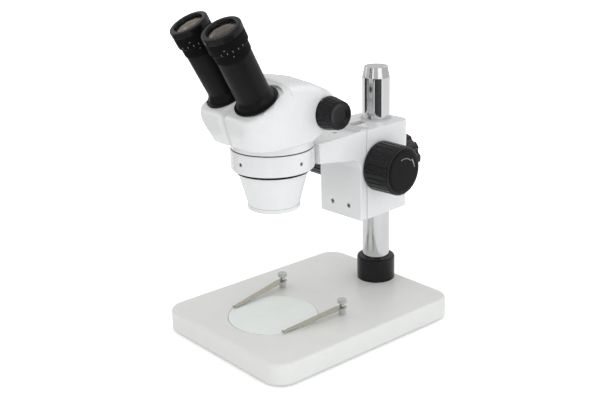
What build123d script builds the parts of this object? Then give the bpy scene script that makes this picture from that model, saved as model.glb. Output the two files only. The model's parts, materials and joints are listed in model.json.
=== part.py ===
from build123d import *
import os
from math import acos, ceil, cos, degrees, pi, radians, sin, sqrt, tan

# Stereo zoom microscope on a pillar stand, in millimetres.
# Z is up, the user sits on the -Y side, and the origin lies on the table under the middle of the whole.

# Fits
running_gap = 0.05      # radial clearance of a part that turns or slides on another
loose_gap = 0.3         # clearance between parts that pass each other
flush_gap = 0.8         # open seam between the focus block and the carriage plate
seat_gap = 0.1          # between two faces that all but touch
press_gap = 0.02        # radial clearance of a knob pressed on its shaft
edge_break = 0.6        # small bevel on sharp edges
key_share = 0.55        # a key socket's radius and depth as a share of the screw head's
key_depth = 2.0         # key socket in a grub screw
overcut = 1.0           # how far a cut runs past the face it starts from
far = 90.0              # longer than anything in the head

# Base
base_width = 205.0
base_depth = 262.0
base_thickness = 23.1
base_corner = 22.5
base_top_round = 3.0
base_foot_round = 0.8
base_wall = 6.0
base_skin = 9.0         # thickness of the top skin over the ribbed underside
base_middle_y = -4.9    # where the base lies fore and aft, so that the whole stands over the origin
rib_width = 4.0
rib_pitch_x = 32.0
rib_pitch_y = 31.0
foot_radius = 9.0
foot_height = 2.5
foot_inset = 24.0
foot_plug_radius = 3.0
foot_plug_length = 6.0
foot_boss_radius = 11.0
foot_rim = 3.0          # width of the ring that each foot stands on
foot_dish = 0.8         # hollow inside that ring

# Stage
stage_reach = 161.0     # pillar axis to the middle of the stage plate
stage_radius = 49.9
stage_thickness = 5.0
stage_proud = 0.3       # how far the plate stands above the base
stage_clearance = 0.2

# Stage clips
clip_spacing = 103.4    # between the two posts
clip_behind = 57.0      # posts behind the middle of the stage
clip_length = 79.9
clip_turn = 5.9         # degrees that each clip leans inward at rest
clip_root_width = 6.4
clip_tip_width = 3.2
clip_sheet = 1.0
clip_post_radius = 4.0
clip_post_height = 8.0
clip_stud_radius = 1.5
clip_neck_radius = 3.0
clip_neck_height = 5.0
clip_head_radius = 5.5
clip_head_height = 4.0
clip_hole_depth = 7.0
clip_rounds = [14.0, 5.0, 3.0]      # bends of the strip from the eye to the tip
clip_tip_run = 9.0      # where the strip meets the stage, back from its tip
clip_tip_curl = 4.0     # where the tip turns up
clip_tip_lift = 1.8
clip_notches = 20
clip_notch_radius = 0.45

# Pillar
pillar_inset = 23.8     # pillar axis in from the back edge of the base
pillar_radius = 16.0
pillar_height = 257.7   # above the base
pillar_taper_height = 12.8
pillar_tip_radius = 13.3
pillar_taper_round = 4.0
pillar_tip_round = 0.8
spigot_radius = 10.0
spigot_length = 7.0
bolt_radius = 5.0
bolt_length = 30.0
bolt_head_radius = 8.0
bolt_head_height = 8.0
collar_radius = 22.5
collar_height = 28.9
collar_round = 3.0
grub_radius = 2.5
grub_sink = 0.6         # grub screws lie this much below the surface

# Focus block, seen from the pillar axis and turned about it
block_swing = 3.1       # degrees that the block is swung on the pillar at rest
block_rise = 93.4       # underside of the block above the base
block_height = 103.1
block_half_width = 32.0
block_front = 49.0      # front face ahead of the pillar axis
block_back = 24.0
block_corner = 12.0
block_front_round = 1.0
bush_wall = 1.2
bush_lip_height = 1.5
bush_lip_radius = 18.2
clamp_rise = 49.4       # clamp screw above the underside of the block
clamp_knob_radius = 26.5
clamp_knob_length = 20.0
clamp_hub_radius = 14.0
clamp_hub_length = 7.0
clamp_screw_radius = 5.0
clamp_point = 1.0       # bevel on the end of the clamp screw
clamp_edge = 3.0        # rounding of the knob's outer edge
clamp_dish = 1.5
scallop_radius = 6.0
scallop_out = 3.6       # centre of each scallop outside the knob's radius
clamp_lobes = 10

# Focus drive
shaft_rise = 59.1       # focus shaft above the underside of the block
shaft_ahead = 29.0      # focus shaft ahead of the pillar axis
shaft_radius = 4.0
shaft_bush_radius = 6.5
shaft_bush_length = 12.0
shaft_bush_flange = 3.0
knob_gap = 1.2          # between the block's side and each focus knob
knob_length = 33.5
knob_radius = 28.6
knob_rim_radius = 26.9
knob_flutes = 28
knob_flute_radius = 1.5
knob_flute_out = 0.7    # centre of each flute outside the knob's radius
knob_band = 3.0         # smooth band before the flutes
knob_back_depth = 4.0   # hollow in the knob's inner face
knob_hub_wall = 6.0
knob_rim_wall = 5.0
knob_bevel = 1.6
knob_end_wall = 4.0     # the shaft stops this much short of the knob's end
cap_seat = 1.5          # depth of the cap's seat
cap_radius = 23.0
cap_length = 3.4
cap_bevel = 2.2
cap_slope = 0.6         # the bevel's height as a share of its width
gear_module = 1.0
gear_teeth = 18
gear_width = 9.0
gear_room = 1.5         # beside the pinion
tooth_root = 1.25       # depth of the teeth below the pitch line, in modules
rack_back = 2.4         # thickness of the rack behind its teeth
gear_backlash = 0.24
pressure_angle = 20.0

# Carriage: plate, arm and ring in one casting
plate_thickness = 10.2
plate_corner = 5.0
carriage_travel = 22.0  # up or down from the middle
slide_depth = 9.0
slide_short = 1.0       # the dovetail starts this much above the plate's lower end
slide_narrow = 21.0     # half width of the dovetail at the plate
slide_wide = 26.0       # half width of the dovetail at its back
arm_drop_front = 20.6   # depth of the arm at the ring
arm_drop_back = 30.0    # depth of the arm at the plate
arm_corner = 13.0
arm_pocket_depth = 4.0
arm_pocket_wall = 5.0
arm_pocket_end = 3.0    # wall behind the pocket, and the rounding of its corners
arm_pocket_rim = 1.5    # rim left round the ring
arm_slant = 1.6         # fall of the arm's underside from the ring to the plate
arm_screw_back = 8.0    # screw in the pocket behind the plate's front face
arm_screw_length = 9.0
ring_reach = 161.4      # pillar axis to the ring axis
ring_radius = 44.3
ring_height = 22.2
ring_round = 2.5
ring_wall_gap = 4.6     # ring's outer face to its bore
liner_wall = 1.6
liner_lip_height = 0.8
liner_lip_radius = 43.3
liner_hang = 3.0        # the liner shows below the ring
nose_rise = 1.5         # the cone's top above the liner's lower end
screw_radius = 2.5
screw_head_radius = 4.2
screw_head_height = 4.5
screw_sink = 0.6        # screw heads lie this much below the surface
plate_screw_spacing = 25.4
plate_screw_rise = 14.5
ring_screw_radius = 2.0

# Head, seen from the ring axis and turned about it
head_turn = -4.15       # degrees that the head is turned in the ring at rest
flange_radius = 43.5
flange_height = 8.5
neck_wall = 6.5
shell_half_width = 51.8
shell_front = 62.4      # foremost face ahead of the ring axis
shell_back = 81.5
shell_foot_front = 50.8
shell_ridge = 66.0      # ridge above the underside of the shells
shell_slope = 28.0      # degrees, the plane that carries the tubes
shell_seam = 0.15       # half of the seam between the two shells
shell_valley = 7.0      # rounding of each shell beside the seam
shell_taper = 2.0       # the casing is this much narrower at the foot and at the ridge
shell_lean = 0.5        # the front leans this much further out at the ridge
shell_nose = 4.0        # the side outline runs this far past the front and the ridge
shell_full_rise = 26.0  # height of the widest section above the underside
shell_waist_y = 2.0     # the sides run parallel up to here
shell_waist = 9.5       # narrower by this much at the zoom shaft
shell_tail = 14.0       # narrower by this much at the back
shell_side_round = 20.0
shell_corner = 15.0
shell_foot_corner = 24.0
ridge_round = 7.0
# the casing's back seen from the side: y, height above the underside, rounding
shell_back_line = [(24.0, 62.4, 40.0), (66.0, 42.5, 18.0), (82.0, 34.0, 7.0),
                   (80.5, 21.5, 5.0), (45.0, 9.0, 12.0), (24.0, 0.0, 3.0)]
nose_drop = 38.0        # length of the cone
nose_radius = 37.9
nose_tip_radius = 27.7
nose_wall = 2.6
nose_lip_radius = 28.3
nose_lip_height = 4.5
nose_spigot_length = 6.0
lens_radius = 9.4
lens_spacing = 23.0
lens_thickness = 4.0
cell_depth = 8.0
cell_seat = 2.0         # floor under each lens
cell_sink = 1.5         # the cell lies this much inside the lip
lens_bulge = 0.9
nose_mouth_depth = 6.0  # depth of the seat for the lip's spigot
lip_wall = 2.0
lip_spigot_length = 5.0
lip_edge = 0.8

# Zoom drive
zoom_behind = 41.0      # zoom shaft behind the ring axis
zoom_rise = 26.8        # zoom shaft above the underside of the shells
zoom_shaft_radius = 3.0
zoom_bush_radius = 5.0
zoom_bush_length = 8.0
zoom_knob_start = 43.2
zoom_margin = 0.9       # room round and behind the knob in its spot face
zoom_knob_length = 19.1
zoom_knob_radius = 17.65
zoom_rim_radius = 14.8
zoom_flutes = 24
zoom_flute_radius = 1.1
zoom_flute_out = 0.45   # centre of each flute outside the knob's radius
zoom_band = 3.0         # smooth band before the flutes
zoom_lip = 2.2          # width of the rim round the dished end
zoom_dish = 2.6
zoom_end_wall = 4.0
zoom_rim_round = 1.2

# Tubes and eyepieces, measured along the axis of each tube
tube_foot_x = 24.28     # where each tube's axis meets the slope
tube_foot_y = -36.98
tube_foot_rise = 49.3   # above the underside of the shells
tube_spread = 2.25      # degrees that each tube leans outward
pupil_pivot_x = 12.0    # upright axis about which each tube swings
pupil_swing = 7.3       # degrees from the closest to the widest setting
tube_radius = 17.2
tube_bore = 15.3
tube_length = 58.0
tube_flare = 20.0
tube_flare_length = 8.0
tube_flange_radius = 23.5
tube_flange_thickness = 2.8
tube_flare_step = 2.5   # upright part of the flare
tube_flare_round = 8.0
stub_wall = 3.0
recess_depth = 5.7
recess_clearance = 0.8
stub_radius = 15.0
stub_floor_rise = 30.5  # level floor under the stub, above the underside of the shells
diopter_start = 53.4
diopter_end = 60.4
diopter_radius = 20.0
eyepiece_end = 86.4
eyecup_radius = 20.65
eyecup_mouth = 13.6
eyecup_wall = 1.4
eyepiece_radius = 19.0
barrel_radius = 15.0
barrel_start = 32.0
barrel_bore = 12.6
eye_lens_radius = 12.2
eye_lens_drop = 4.0
eye_lens_seat = 4.0     # thickness of the lens at its edge, with the ring that holds it
eye_lens_rim = 2.4
eye_lens_bulge = 1.5
eye_stop = 1.2          # step that the lens rests on
barrel_step = 12.0      # depth of the wide bore at the barrel's lower end
barrel_throat = 30.0    # where the bore narrows, below the top
eyecup_roof = 3.0       # rubber over the top of the barrel
eyecup_low_round = 0.4
eyecup_high_round = 1.6
eyecup_mouth_round = 1.0
diopter_chamfer = 2.2

# Worked out from the sizes above
base_top = foot_height + base_thickness
pillar_y = base_middle_y + base_depth / 2 - pillar_inset
stage_y = pillar_y - stage_reach
pillar_top = base_top + pillar_height
block_low = base_top + block_rise
block_high = block_low + block_height
bush_radius = pillar_radius + running_gap + bush_wall
bush_bore = bush_radius + running_gap
shaft_height = block_low + shaft_rise
clamp_height = block_low + clamp_rise
pitch_radius = gear_module * gear_teeth / 2
plate_back = -block_front - flush_gap
plate_front = plate_back - plate_thickness
ring_top = block_high + seat_gap
ring_low = ring_top - ring_height
ring_bore = ring_radius - ring_wall_gap
liner_radius = ring_bore - running_gap
liner_bore = liner_radius - liner_wall
neck_radius = liner_bore - running_gap
flange_low = ring_top + liner_lip_height
shell_low = flange_low + flange_height
nose_top = ring_low - liner_hang + nose_rise
nose_low = nose_top - nose_drop
ridge_high = shell_low + shell_ridge
tube_foot_z = shell_low + tube_foot_rise
zoom_height = shell_low + zoom_rise
rack_face = shaft_ahead + pitch_radius
rack_root = rack_face + tooth_root * gear_module
eyecup_low = diopter_end + loose_gap
barrel_top = eyepiece_end - eyecup_roof
eye_seat = eyepiece_end - eye_lens_drop - eye_lens_seat
zoom_floor = zoom_knob_start - zoom_margin

block_place = Pos(0, pillar_y, 0) * Rot(0, 0, block_swing)
head_place = block_place * Pos(0, -ring_reach, 0) * Rot(0, 0, head_turn)
tube_place = Pos(tube_foot_x, tube_foot_y, tube_foot_z) * Rot(shell_slope, tube_spread, 0)


def outline(*corners):
    """Flat closed outline from corners (u, v) or (u, v, rounding)."""
    radii = [corner[2] if len(corner) > 2 else 0 for corner in corners]
    points = [(corner[0], corner[1]) for corner in corners]
    return make_face(FilletPolyline(*points, radius=radii, close=True))


def turned(*corners):
    """Solid turned about Z from corners (radius, height) or (radius, height, rounding)."""
    return revolve(Plane.XZ * outline(*corners), Axis.Z)


def rod(radius, low, high):
    """Round bar along Z between two heights."""
    return Pos(0, 0, low) * Cylinder(radius, high - low, align=(Align.CENTER, Align.CENTER, Align.MIN))


def slab(x_low, x_high, y_low, y_high, z_low, z_high):
    """Plain block between three pairs of faces."""
    box = Box(x_high - x_low, y_high - y_low, z_high - z_low, align=(Align.MIN, Align.MIN, Align.MIN))
    return Pos(x_low, y_low, z_low) * box


def to_right(shape):
    """Turns what was made along Z so that it runs along +X."""
    return Rot(0, 90, 0) * shape


def to_back(shape):
    """Turns what was made along Z so that it runs along +Y."""
    return Rot(-90, 0, 0) * shape


def mirrored(shape):
    """The same piece for the left side."""
    return mirror(shape, about=Plane.YZ)


def socket(radius, depth):
    """Six-sided recess for a key, open upward at z = 0."""
    return Pos(0, 0, -depth) * extrude(RegularPolygon(radius, 6), depth)


def cap_screw(head_radius, head_height, shank_radius, shank_length):
    """Socket screw with its head below z = 0 and its shank further down."""
    head = rod(head_radius, -head_height, 0) - socket(head_radius * key_share, head_height * key_share)
    return head + rod(shank_radius, -head_height - shank_length, -head_height)


def fused(shapes):
    """One solid of several that overlap."""
    whole = shapes[0]
    for shape in shapes[1:]:
        whole = whole + shape
    return whole


def spots(width, depth, middle):
    """The four corners of a rectangle about a point on the Y axis."""
    return [(x, middle + y) for x in (-width / 2, width / 2) for y in (-depth / 2, depth / 2)]


# Base

def base_plate():
    """Cast base: rounded slab, ribbed underside, bosses, stage recess and holes."""
    slab_shape = extrude(RectangleRounded(base_width, base_depth, base_corner), base_thickness)
    slab_shape = fillet(slab_shape.faces().sort_by(Axis.Z)[-1].edges(), base_top_round)
    slab_shape = fillet(slab_shape.faces().sort_by(Axis.Z)[0].edges(), base_foot_round)
    inner_x = base_width - 2 * base_wall
    inner_y = base_depth - 2 * base_wall
    hollow = extrude(RectangleRounded(inner_x, inner_y, base_corner - base_wall), base_thickness - base_skin)
    ribs = []
    count_x = int((inner_x / 2) // rib_pitch_x)
    count_y = int((inner_y / 2) // rib_pitch_y)
    for step in range(-count_x, count_x + 1):
        middle = step * rib_pitch_x
        ribs.append(slab(middle - rib_width / 2, middle + rib_width / 2, -inner_y / 2, inner_y / 2,
                         0, base_thickness))
    for step in range(-count_y, count_y + 1):
        middle = step * rib_pitch_y
        ribs.append(slab(-inner_x / 2, inner_x / 2, middle - rib_width / 2, middle + rib_width / 2,
                         0, base_thickness))
    feet = spots(base_width - 2 * foot_inset, base_depth - 2 * foot_inset, 0)
    bosses = [Pos(x, y, 0) * rod(foot_boss_radius, 0, base_thickness) for x, y in feet]
    local_pillar = base_depth / 2 - pillar_inset
    bosses.append(Pos(0, local_pillar, 0) * rod(pillar_radius, 0, base_thickness))
    plate = slab_shape - (hollow - ribs - bosses)
    cuts = []
    for x, y in feet:
        cuts.append(Pos(x, y, 0) * rod(foot_plug_radius + running_gap, 0, foot_plug_length + loose_gap))
    local_stage = local_pillar - stage_reach
    recess_floor = base_thickness + stage_proud - stage_thickness
    recess = rod(stage_radius + stage_clearance, recess_floor, base_thickness + overcut)
    cuts.append(Pos(0, local_stage, 0) * recess)
    spigot_floor = base_thickness - spigot_length
    cuts.append(Pos(0, local_pillar, 0) * rod(spigot_radius + running_gap, spigot_floor,
                                                   base_thickness + overcut))
    cuts.append(Pos(0, local_pillar, 0) * rod(bolt_radius + loose_gap, -overcut, base_thickness))
    cuts.append(Pos(0, local_pillar, 0) * rod(bolt_head_radius + loose_gap, -overcut, bolt_head_height))
    for side in (-1, 1):
        post = Pos(side * clip_spacing / 2, local_stage + clip_behind, 0)
        cuts.append(post * rod(clip_stud_radius + running_gap, base_thickness - clip_hole_depth,
                               base_thickness + overcut))
    return Pos(0, base_middle_y, foot_height) * (plate - cuts)


def rubber_feet():
    """Four round feet, each with a plug that goes up into the base."""
    inner = foot_radius - foot_rim
    foot = turned((0, foot_dish), (inner - edge_break, foot_dish), (inner, 0), (foot_radius - edge_break, 0),
                  (foot_radius, foot_height), (foot_plug_radius, foot_height),
                  (foot_plug_radius, foot_height + foot_plug_length), (0, foot_height + foot_plug_length))
    places = spots(base_width - 2 * foot_inset, base_depth - 2 * foot_inset, base_middle_y)
    return Compound([Pos(x, y, 0) * foot for x, y in places])


def stage_plate():
    """Frosted disc that lies in the recess."""
    high = base_top + stage_proud
    low = high - stage_thickness
    edge = 0.4
    disc = turned((0, low), (stage_radius - edge, low), (stage_radius, low + edge),
                  (stage_radius, high - edge), (stage_radius - edge, high), (0, high))
    return Pos(0, stage_y, 0) * disc


def clip_place(side):
    """Axis of a stage clip, on the top of the base."""
    return Pos(side * clip_spacing / 2, stage_y + clip_behind, base_top)


def clip_post():
    """Turned post with a stud above for the knob and one below for the base."""
    high = clip_post_height
    stud_top = high + clip_sheet + clip_neck_height
    low = -clip_hole_depth + loose_gap
    return turned((0, low), (clip_stud_radius, low), (clip_stud_radius, 0),
                  (clip_post_radius, 0), (clip_post_radius, high),
                  (clip_stud_radius, high), (clip_stud_radius, stud_top), (0, stud_top))


def clip_knob():
    """Knurled head on a slim neck, screwed on the post's stud above the clip."""
    low = clip_post_height + clip_sheet + seat_gap
    shoulder = low + clip_neck_height
    high = shoulder + clip_head_height
    bore = clip_stud_radius + running_gap
    knob = turned((bore, low), (clip_neck_radius, low), (clip_neck_radius, shoulder),
                  (clip_head_radius, shoulder + edge_break), (clip_head_radius, high - edge_break),
                  (clip_head_radius - edge_break, high), (0, high), (0, shoulder), (bore, shoulder))
    notch = rod(clip_notch_radius, shoulder - overcut, high + overcut)
    return knob - [place * notch for place in PolarLocations(clip_head_radius, clip_notches)]


def clip_arm():
    """Springy strip: an eye on the post, a slope down to the stage and a turned up tip."""
    eye_height = clip_post_height + clip_sheet / 2
    tip_height = stage_proud + loose_gap + clip_sheet / 2
    path = FilletPolyline((clip_head_radius, eye_height), (-clip_head_radius, eye_height),
                          (-clip_length + clip_tip_run, tip_height + clip_sheet),
                          (-clip_length + clip_tip_curl, tip_height),
                          (-clip_length, tip_height + clip_tip_lift), radius=clip_rounds)
    strip = extrude(Plane.YZ * trace(path, clip_sheet), clip_head_radius, both=True)
    end = -clip_length - overcut
    plan = outline((-clip_root_width / 2, 0), (-clip_tip_width / 2, end), (clip_tip_width / 2, end),
                   (clip_root_width / 2, 0))
    eye = rod(clip_head_radius - loose_gap, 0, clip_post_height + 2 * clip_sheet)
    strip = strip & (extrude(plan, clip_post_height + 2 * clip_sheet) + eye)
    return strip - rod(clip_stud_radius + running_gap, 0, clip_post_height + 2 * clip_sheet)


# Pillar

def pillar():
    """Ground and plated pillar with a spigot and a tapped hole below and a taper above."""
    taper_low = pillar_top - pillar_taper_height
    spigot_low = base_top - spigot_length
    hole_top = base_top + bolt_length
    shape = turned((0, spigot_low), (spigot_radius, spigot_low), (spigot_radius, base_top),
                   (pillar_radius, base_top), (pillar_radius, taper_low, pillar_taper_round),
                   (pillar_tip_radius, pillar_top, pillar_tip_round), (0, pillar_top))
    return Pos(0, pillar_y, 0) * (shape - rod(bolt_radius + running_gap, spigot_low - overcut, hole_top))


def pillar_bolt():
    """Socket bolt that holds the pillar down from below the base."""
    bolt = cap_screw(bolt_head_radius, bolt_head_height - loose_gap, bolt_radius, bolt_length)
    return Pos(0, pillar_y, foot_height + loose_gap) * (Rot(180, 0, 0) * bolt)


def pillar_collar():
    """Black collar round the foot of the pillar."""
    bore = pillar_radius + running_gap
    high = base_top + collar_height
    shape = turned((bore, base_top), (collar_radius, base_top), (collar_radius, high, collar_round),
                   (bore, high))
    hole = to_back(rod(grub_radius + running_gap, pillar_radius - overcut, collar_radius + overcut))
    return Pos(0, pillar_y, 0) * (shape - Pos(0, 0, base_top + collar_height / 2) * hole)


def collar_screw():
    """Grub screw at the back of the collar."""
    end = collar_radius - grub_sink
    screw = rod(grub_radius, pillar_radius + seat_gap, end)
    screw -= Pos(0, 0, end) * socket(grub_radius * key_share, key_depth)
    return Pos(0, pillar_y, base_top + collar_height / 2) * to_back(screw)


def pillar_bush():
    """Sleeve between the pillar and the block, with a lip that rests on the block."""
    bore = pillar_radius + running_gap
    return turned((bore, block_low), (bush_radius, block_low), (bush_radius, block_high),
                  (bush_lip_radius, block_high), (bush_lip_radius, block_high + bush_lip_height),
                  (bore, block_high + bush_lip_height))


# Focus block

def slide_outline(margin):
    """Dovetail in plan, grown by a margin for the groove that takes it."""
    back = -block_front + slide_depth
    front = plate_back - margin
    return outline((-slide_narrow - margin, front), (slide_narrow + margin, front),
                   (slide_wide + margin, back + margin), (-slide_wide - margin, back + margin))


def block_housing():
    """Focus block: bored for pillar, shaft and clamp, with the dovetail groove down its front."""
    half = block_half_width
    plan = outline((-half, -block_front, block_front_round), (half, -block_front, block_front_round),
                   (half, block_back, block_corner), (-half, block_back, block_corner))
    block = Pos(0, 0, block_low) * extrude(plan, block_height)
    block = chamfer(block.faces().sort_by(Axis.Z)[-1].edges(), edge_break)
    cut_low = block_low - overcut
    cut_high = block_high + overcut
    cuts = [rod(bush_bore, cut_low, cut_high)]
    cuts.append(Pos(0, 0, cut_low) * extrude(slide_outline(seat_gap), cut_high - cut_low))
    tooth_room = 1.6 * gear_module
    channel = gear_width / 2 + gear_room
    cuts.append(slab(-channel, channel, -rack_face - 2 * tooth_room, -rack_face + tooth_room,
                     cut_low, cut_high))
    shaft_line = Pos(0, -shaft_ahead, shaft_height)
    cuts.append(shaft_line * to_right(rod(pitch_radius + tooth_room, -channel, channel)))
    cuts.append(shaft_line * to_right(rod(shaft_radius + overcut, -half, half)))
    seat = rod(shaft_bush_radius + running_gap, half - shaft_bush_length, half + overcut)
    cuts.append(shaft_line * to_right(seat))
    cuts.append(shaft_line * mirrored(to_right(seat)))
    clamp_bore = rod(clamp_screw_radius + running_gap, 0, block_back + overcut)
    cuts.append(Pos(0, 0, clamp_height) * to_back(clamp_bore))
    return block - cuts


def shaft_bushes():
    """Two flanged bushes that carry the focus shaft."""
    bore = shaft_radius + running_gap
    inner = block_half_width - shaft_bush_length
    outer = block_half_width + knob_gap - loose_gap
    flange = shaft_bush_radius + shaft_bush_flange
    bush = turned((bore, inner), (shaft_bush_radius, inner), (shaft_bush_radius, block_half_width),
                  (flange, block_half_width), (flange, outer), (bore, outer))
    right = to_right(bush)
    return Pos(0, -shaft_ahead, shaft_height) * Compound([right, mirrored(right)])


def clamp_knob():
    """Scalloped hand knob behind the block, made along Z from the block's back face."""
    low = loose_gap
    step = clamp_hub_length
    high = step + clamp_knob_length
    floor = high - clamp_dish
    body = turned((0, low), (clamp_hub_radius, low), (clamp_hub_radius, step),
                  (clamp_knob_radius, step, clamp_edge / 2),
                  (clamp_knob_radius - edge_break, high, clamp_edge), (clamp_hub_radius, high), (clamp_hub_radius - clamp_dish, floor), (0, floor))
    scallop = rod(scallop_radius, step - overcut, high + overcut)
    body -= [place * scallop for place in PolarLocations(clamp_knob_radius + scallop_out, clamp_lobes)]
    body -= rod(clamp_screw_radius + running_gap, 0, step + clamp_knob_length / 2)
    return Pos(0, block_back, clamp_height) * to_back(body)


def clamp_screw():
    """Screw that the knob turns: it presses the bush on the pillar."""
    start = bush_bore + loose_gap
    end = block_back + clamp_hub_length + clamp_knob_length / 2 - seat_gap
    shape = turned((0, start), (clamp_screw_radius - clamp_point, start),
                   (clamp_screw_radius, start + clamp_point), (clamp_screw_radius, end), (0, end))
    return Pos(0, 0, clamp_height) * to_back(shape)


# Focus drive

def tooth_half_angle(radius):
    """Half angle of a gear tooth at a radius, for involute flanks."""
    base = pitch_radius * cos(radians(pressure_angle))
    slope = acos(min(1.0, base / max(radius, base)))
    pitch_slope = radians(pressure_angle)
    thickness = pi * gear_module / 2 - gear_backlash
    spread = (tan(pitch_slope) - pitch_slope) - (tan(slope) - slope)
    return thickness / (2 * pitch_radius) + spread


def focus_pinion():
    """Toothed wheel on the focus shaft."""
    root = pitch_radius - tooth_root * gear_module
    tip = pitch_radius + gear_module
    flank = [root, pitch_radius - 0.4 * gear_module, pitch_radius + 0.35 * gear_module, tip]
    points = []
    for tooth in range(gear_teeth):
        middle = 2 * pi * tooth / gear_teeth
        for radius in flank:
            angle = middle - tooth_half_angle(radius)
            points.append((radius * cos(angle), radius * sin(angle)))
        for radius in reversed(flank):
            angle = middle + tooth_half_angle(radius)
            points.append((radius * cos(angle), radius * sin(angle)))
    wheel = extrude(make_face(Polyline(*points, close=True)), gear_width / 2, both=True)
    wheel -= rod(shaft_radius + running_gap, -gear_width, gear_width)
    return Pos(0, -shaft_ahead, shaft_height) * to_right(wheel)


def focus_rack():
    """Rack let into the back of the dovetail, its teeth towards the pinion."""
    pitch = pi * gear_module
    reach = carriage_travel + 2.5 * pitch
    teeth = 2 * ceil(reach / pitch) + 1
    run = tan(radians(pressure_angle))
    half = pitch / 4 - gear_backlash / 2
    root_y = -rack_root
    tip_y = -rack_face + gear_module
    back_y = root_y - rack_back
    low = -teeth / 2 * pitch
    points = [(back_y, low), (root_y, low)]
    for tooth in range(teeth):
        middle = low + (tooth + 0.5) * pitch
        points.append((root_y, middle - half - run * tooth_root * gear_module))
        points.append((tip_y, middle - half + run * gear_module))
        points.append((tip_y, middle + half - run * gear_module))
        points.append((root_y, middle + half + run * tooth_root * gear_module))
    points += [(root_y, -low), (back_y, -low)]
    bar = extrude(Plane.YZ * make_face(Polyline(*points, close=True)), gear_width / 2, both=True)
    return Pos(0, 0, shaft_height) * bar


def focus_shaft():
    """Shaft from one focus knob to the other."""
    end = block_half_width + knob_gap + knob_length - knob_end_wall
    return Pos(0, -shaft_ahead, shaft_height) * to_right(rod(shaft_radius, -end, end))


def focus_knob():
    """Right knob, made along Z from the block's side: fluted rim, hollow back, seat for the cap."""
    low = block_half_width + knob_gap
    high = low + knob_length
    hub = shaft_radius + knob_hub_wall
    rim = knob_radius - knob_rim_wall
    hollow = low + knob_back_depth
    seat = cap_radius + loose_gap
    floor = high - cap_seat
    body = turned((0, low), (hub, low), (hub, hollow), (rim, hollow), (rim, low),
                  (knob_radius - edge_break, low), (knob_radius, low + edge_break),
                  (knob_rim_radius, high - knob_bevel), (knob_rim_radius - knob_bevel, high),
                  (seat, high), (seat, floor), (0, floor))
    body -= rod(shaft_radius + press_gap, low - overcut, high - knob_end_wall)
    flute = rod(knob_flute_radius, low + knob_band, high + overcut)
    lean = degrees((knob_radius - knob_rim_radius) / knob_length)
    cutter = Pos(knob_radius + knob_flute_out, 0, low) * Rot(0, -lean, 0) * Pos(0, 0, -low) * flute
    body -= [Rot(0, 0, 360 * step / knob_flutes) * cutter for step in range(knob_flutes)]
    return Pos(0, -shaft_ahead, shaft_height) * to_right(body)


def focus_cap():
    """Bevelled disc on the end of a focus knob."""
    low = block_half_width + knob_gap + knob_length - cap_seat
    high = low + cap_length
    disc = turned((0, low), (cap_radius, low), (cap_radius, high - cap_bevel * cap_slope),
                  (cap_radius - cap_bevel, high), (0, high))
    return Pos(0, -shaft_ahead, shaft_height) * to_right(disc)


# Carriage

def arm_side():
    """Plate and arm seen from the side, with the rounded corner under the arm."""
    ring_y = -ring_reach + sqrt(ring_radius ** 2 - block_half_width ** 2)
    top = ring_top
    face = Plane.YZ * outline((plate_back, block_low), (plate_back, top), (-ring_reach, top),
                              (-ring_reach, top - arm_drop_front),
                              (ring_y, top - arm_drop_front - arm_slant),
                              (plate_front, top - arm_drop_back - arm_slant, arm_corner),
                              (plate_front, block_low))
    return extrude(face, block_half_width, both=True)


def carriage_arm():
    """Casting of plate, arm and ring."""
    wide = block_half_width
    plan = outline((-wide, plate_back, edge_break), (wide, plate_back, edge_break),
                   (wide, plate_front, plate_corner), (-wide, plate_front, plate_corner))
    plate = Pos(0, 0, block_low) * extrude(plan, ring_top - block_low)
    arm_low = ring_top - arm_drop_back - 2 * arm_corner
    arm = arm_side() & (plate + slab(-wide, wide, -ring_reach, plate_front + plate_corner, arm_low, ring_top))
    ring = Pos(0, -ring_reach, 0) * turned((0, ring_low), (ring_radius, ring_low, ring_round),
                                           (ring_radius, ring_top, 0.8), (0, ring_top))
    body = arm + ring
    pocket_front = -ring_reach + ring_radius
    pocket_back = plate_back - arm_pocket_end
    half = wide - arm_pocket_wall
    pocket = outline((-half, pocket_back, arm_pocket_end), (half, pocket_back, arm_pocket_end),
                     (half, pocket_front, edge_break), (-half, pocket_front, edge_break))
    keep = Pos(0, -ring_reach, 0) * rod(ring_radius + arm_pocket_rim, ring_low, ring_top + overcut)
    cuts = [(Pos(0, 0, ring_top - arm_pocket_depth) * extrude(pocket, arm_pocket_depth + overcut)) - keep]
    cuts.append(Pos(0, -ring_reach, 0) * rod(ring_bore, ring_low - ring_height, ring_top + overcut))
    shank_hole = rod(screw_radius + running_gap, -plate_thickness - slide_depth, overcut)
    screw_hole = shank_hole + rod(screw_head_radius + running_gap, -screw_head_height, overcut)
    for side in (-1, 1):
        place = Pos(side * plate_screw_spacing / 2, plate_front, block_low + plate_screw_rise) * Rot(90, 0, 0)
        cuts.append(place * screw_hole)
    arm_hole = rod(screw_radius + running_gap, -arm_screw_length - overcut, overcut)
    cuts.append(Pos(0, arm_screw_y(), ring_top - arm_pocket_depth) * arm_hole)
    for turn in (0, 90, 180):
        hole = rod(ring_screw_radius + running_gap, ring_bore - overcut, ring_radius + overcut)
        cuts.append(Pos(0, -ring_reach, ring_low + ring_height / 2) * Rot(0, 0, -turn) * to_right(hole))
    return body - cuts


def arm_screw_y():
    """Where the screw in the arm's pocket stands."""
    return plate_front - arm_screw_back


def arm_screw():
    """Screw in the floor of the arm's pocket."""
    floor = ring_top - arm_pocket_depth
    top = floor - grub_sink
    shape = rod(screw_radius, floor - arm_screw_length, top)
    return Pos(0, arm_screw_y(), 0) * (shape - Pos(0, 0, top) * socket(screw_radius * key_share, key_depth))


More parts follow.
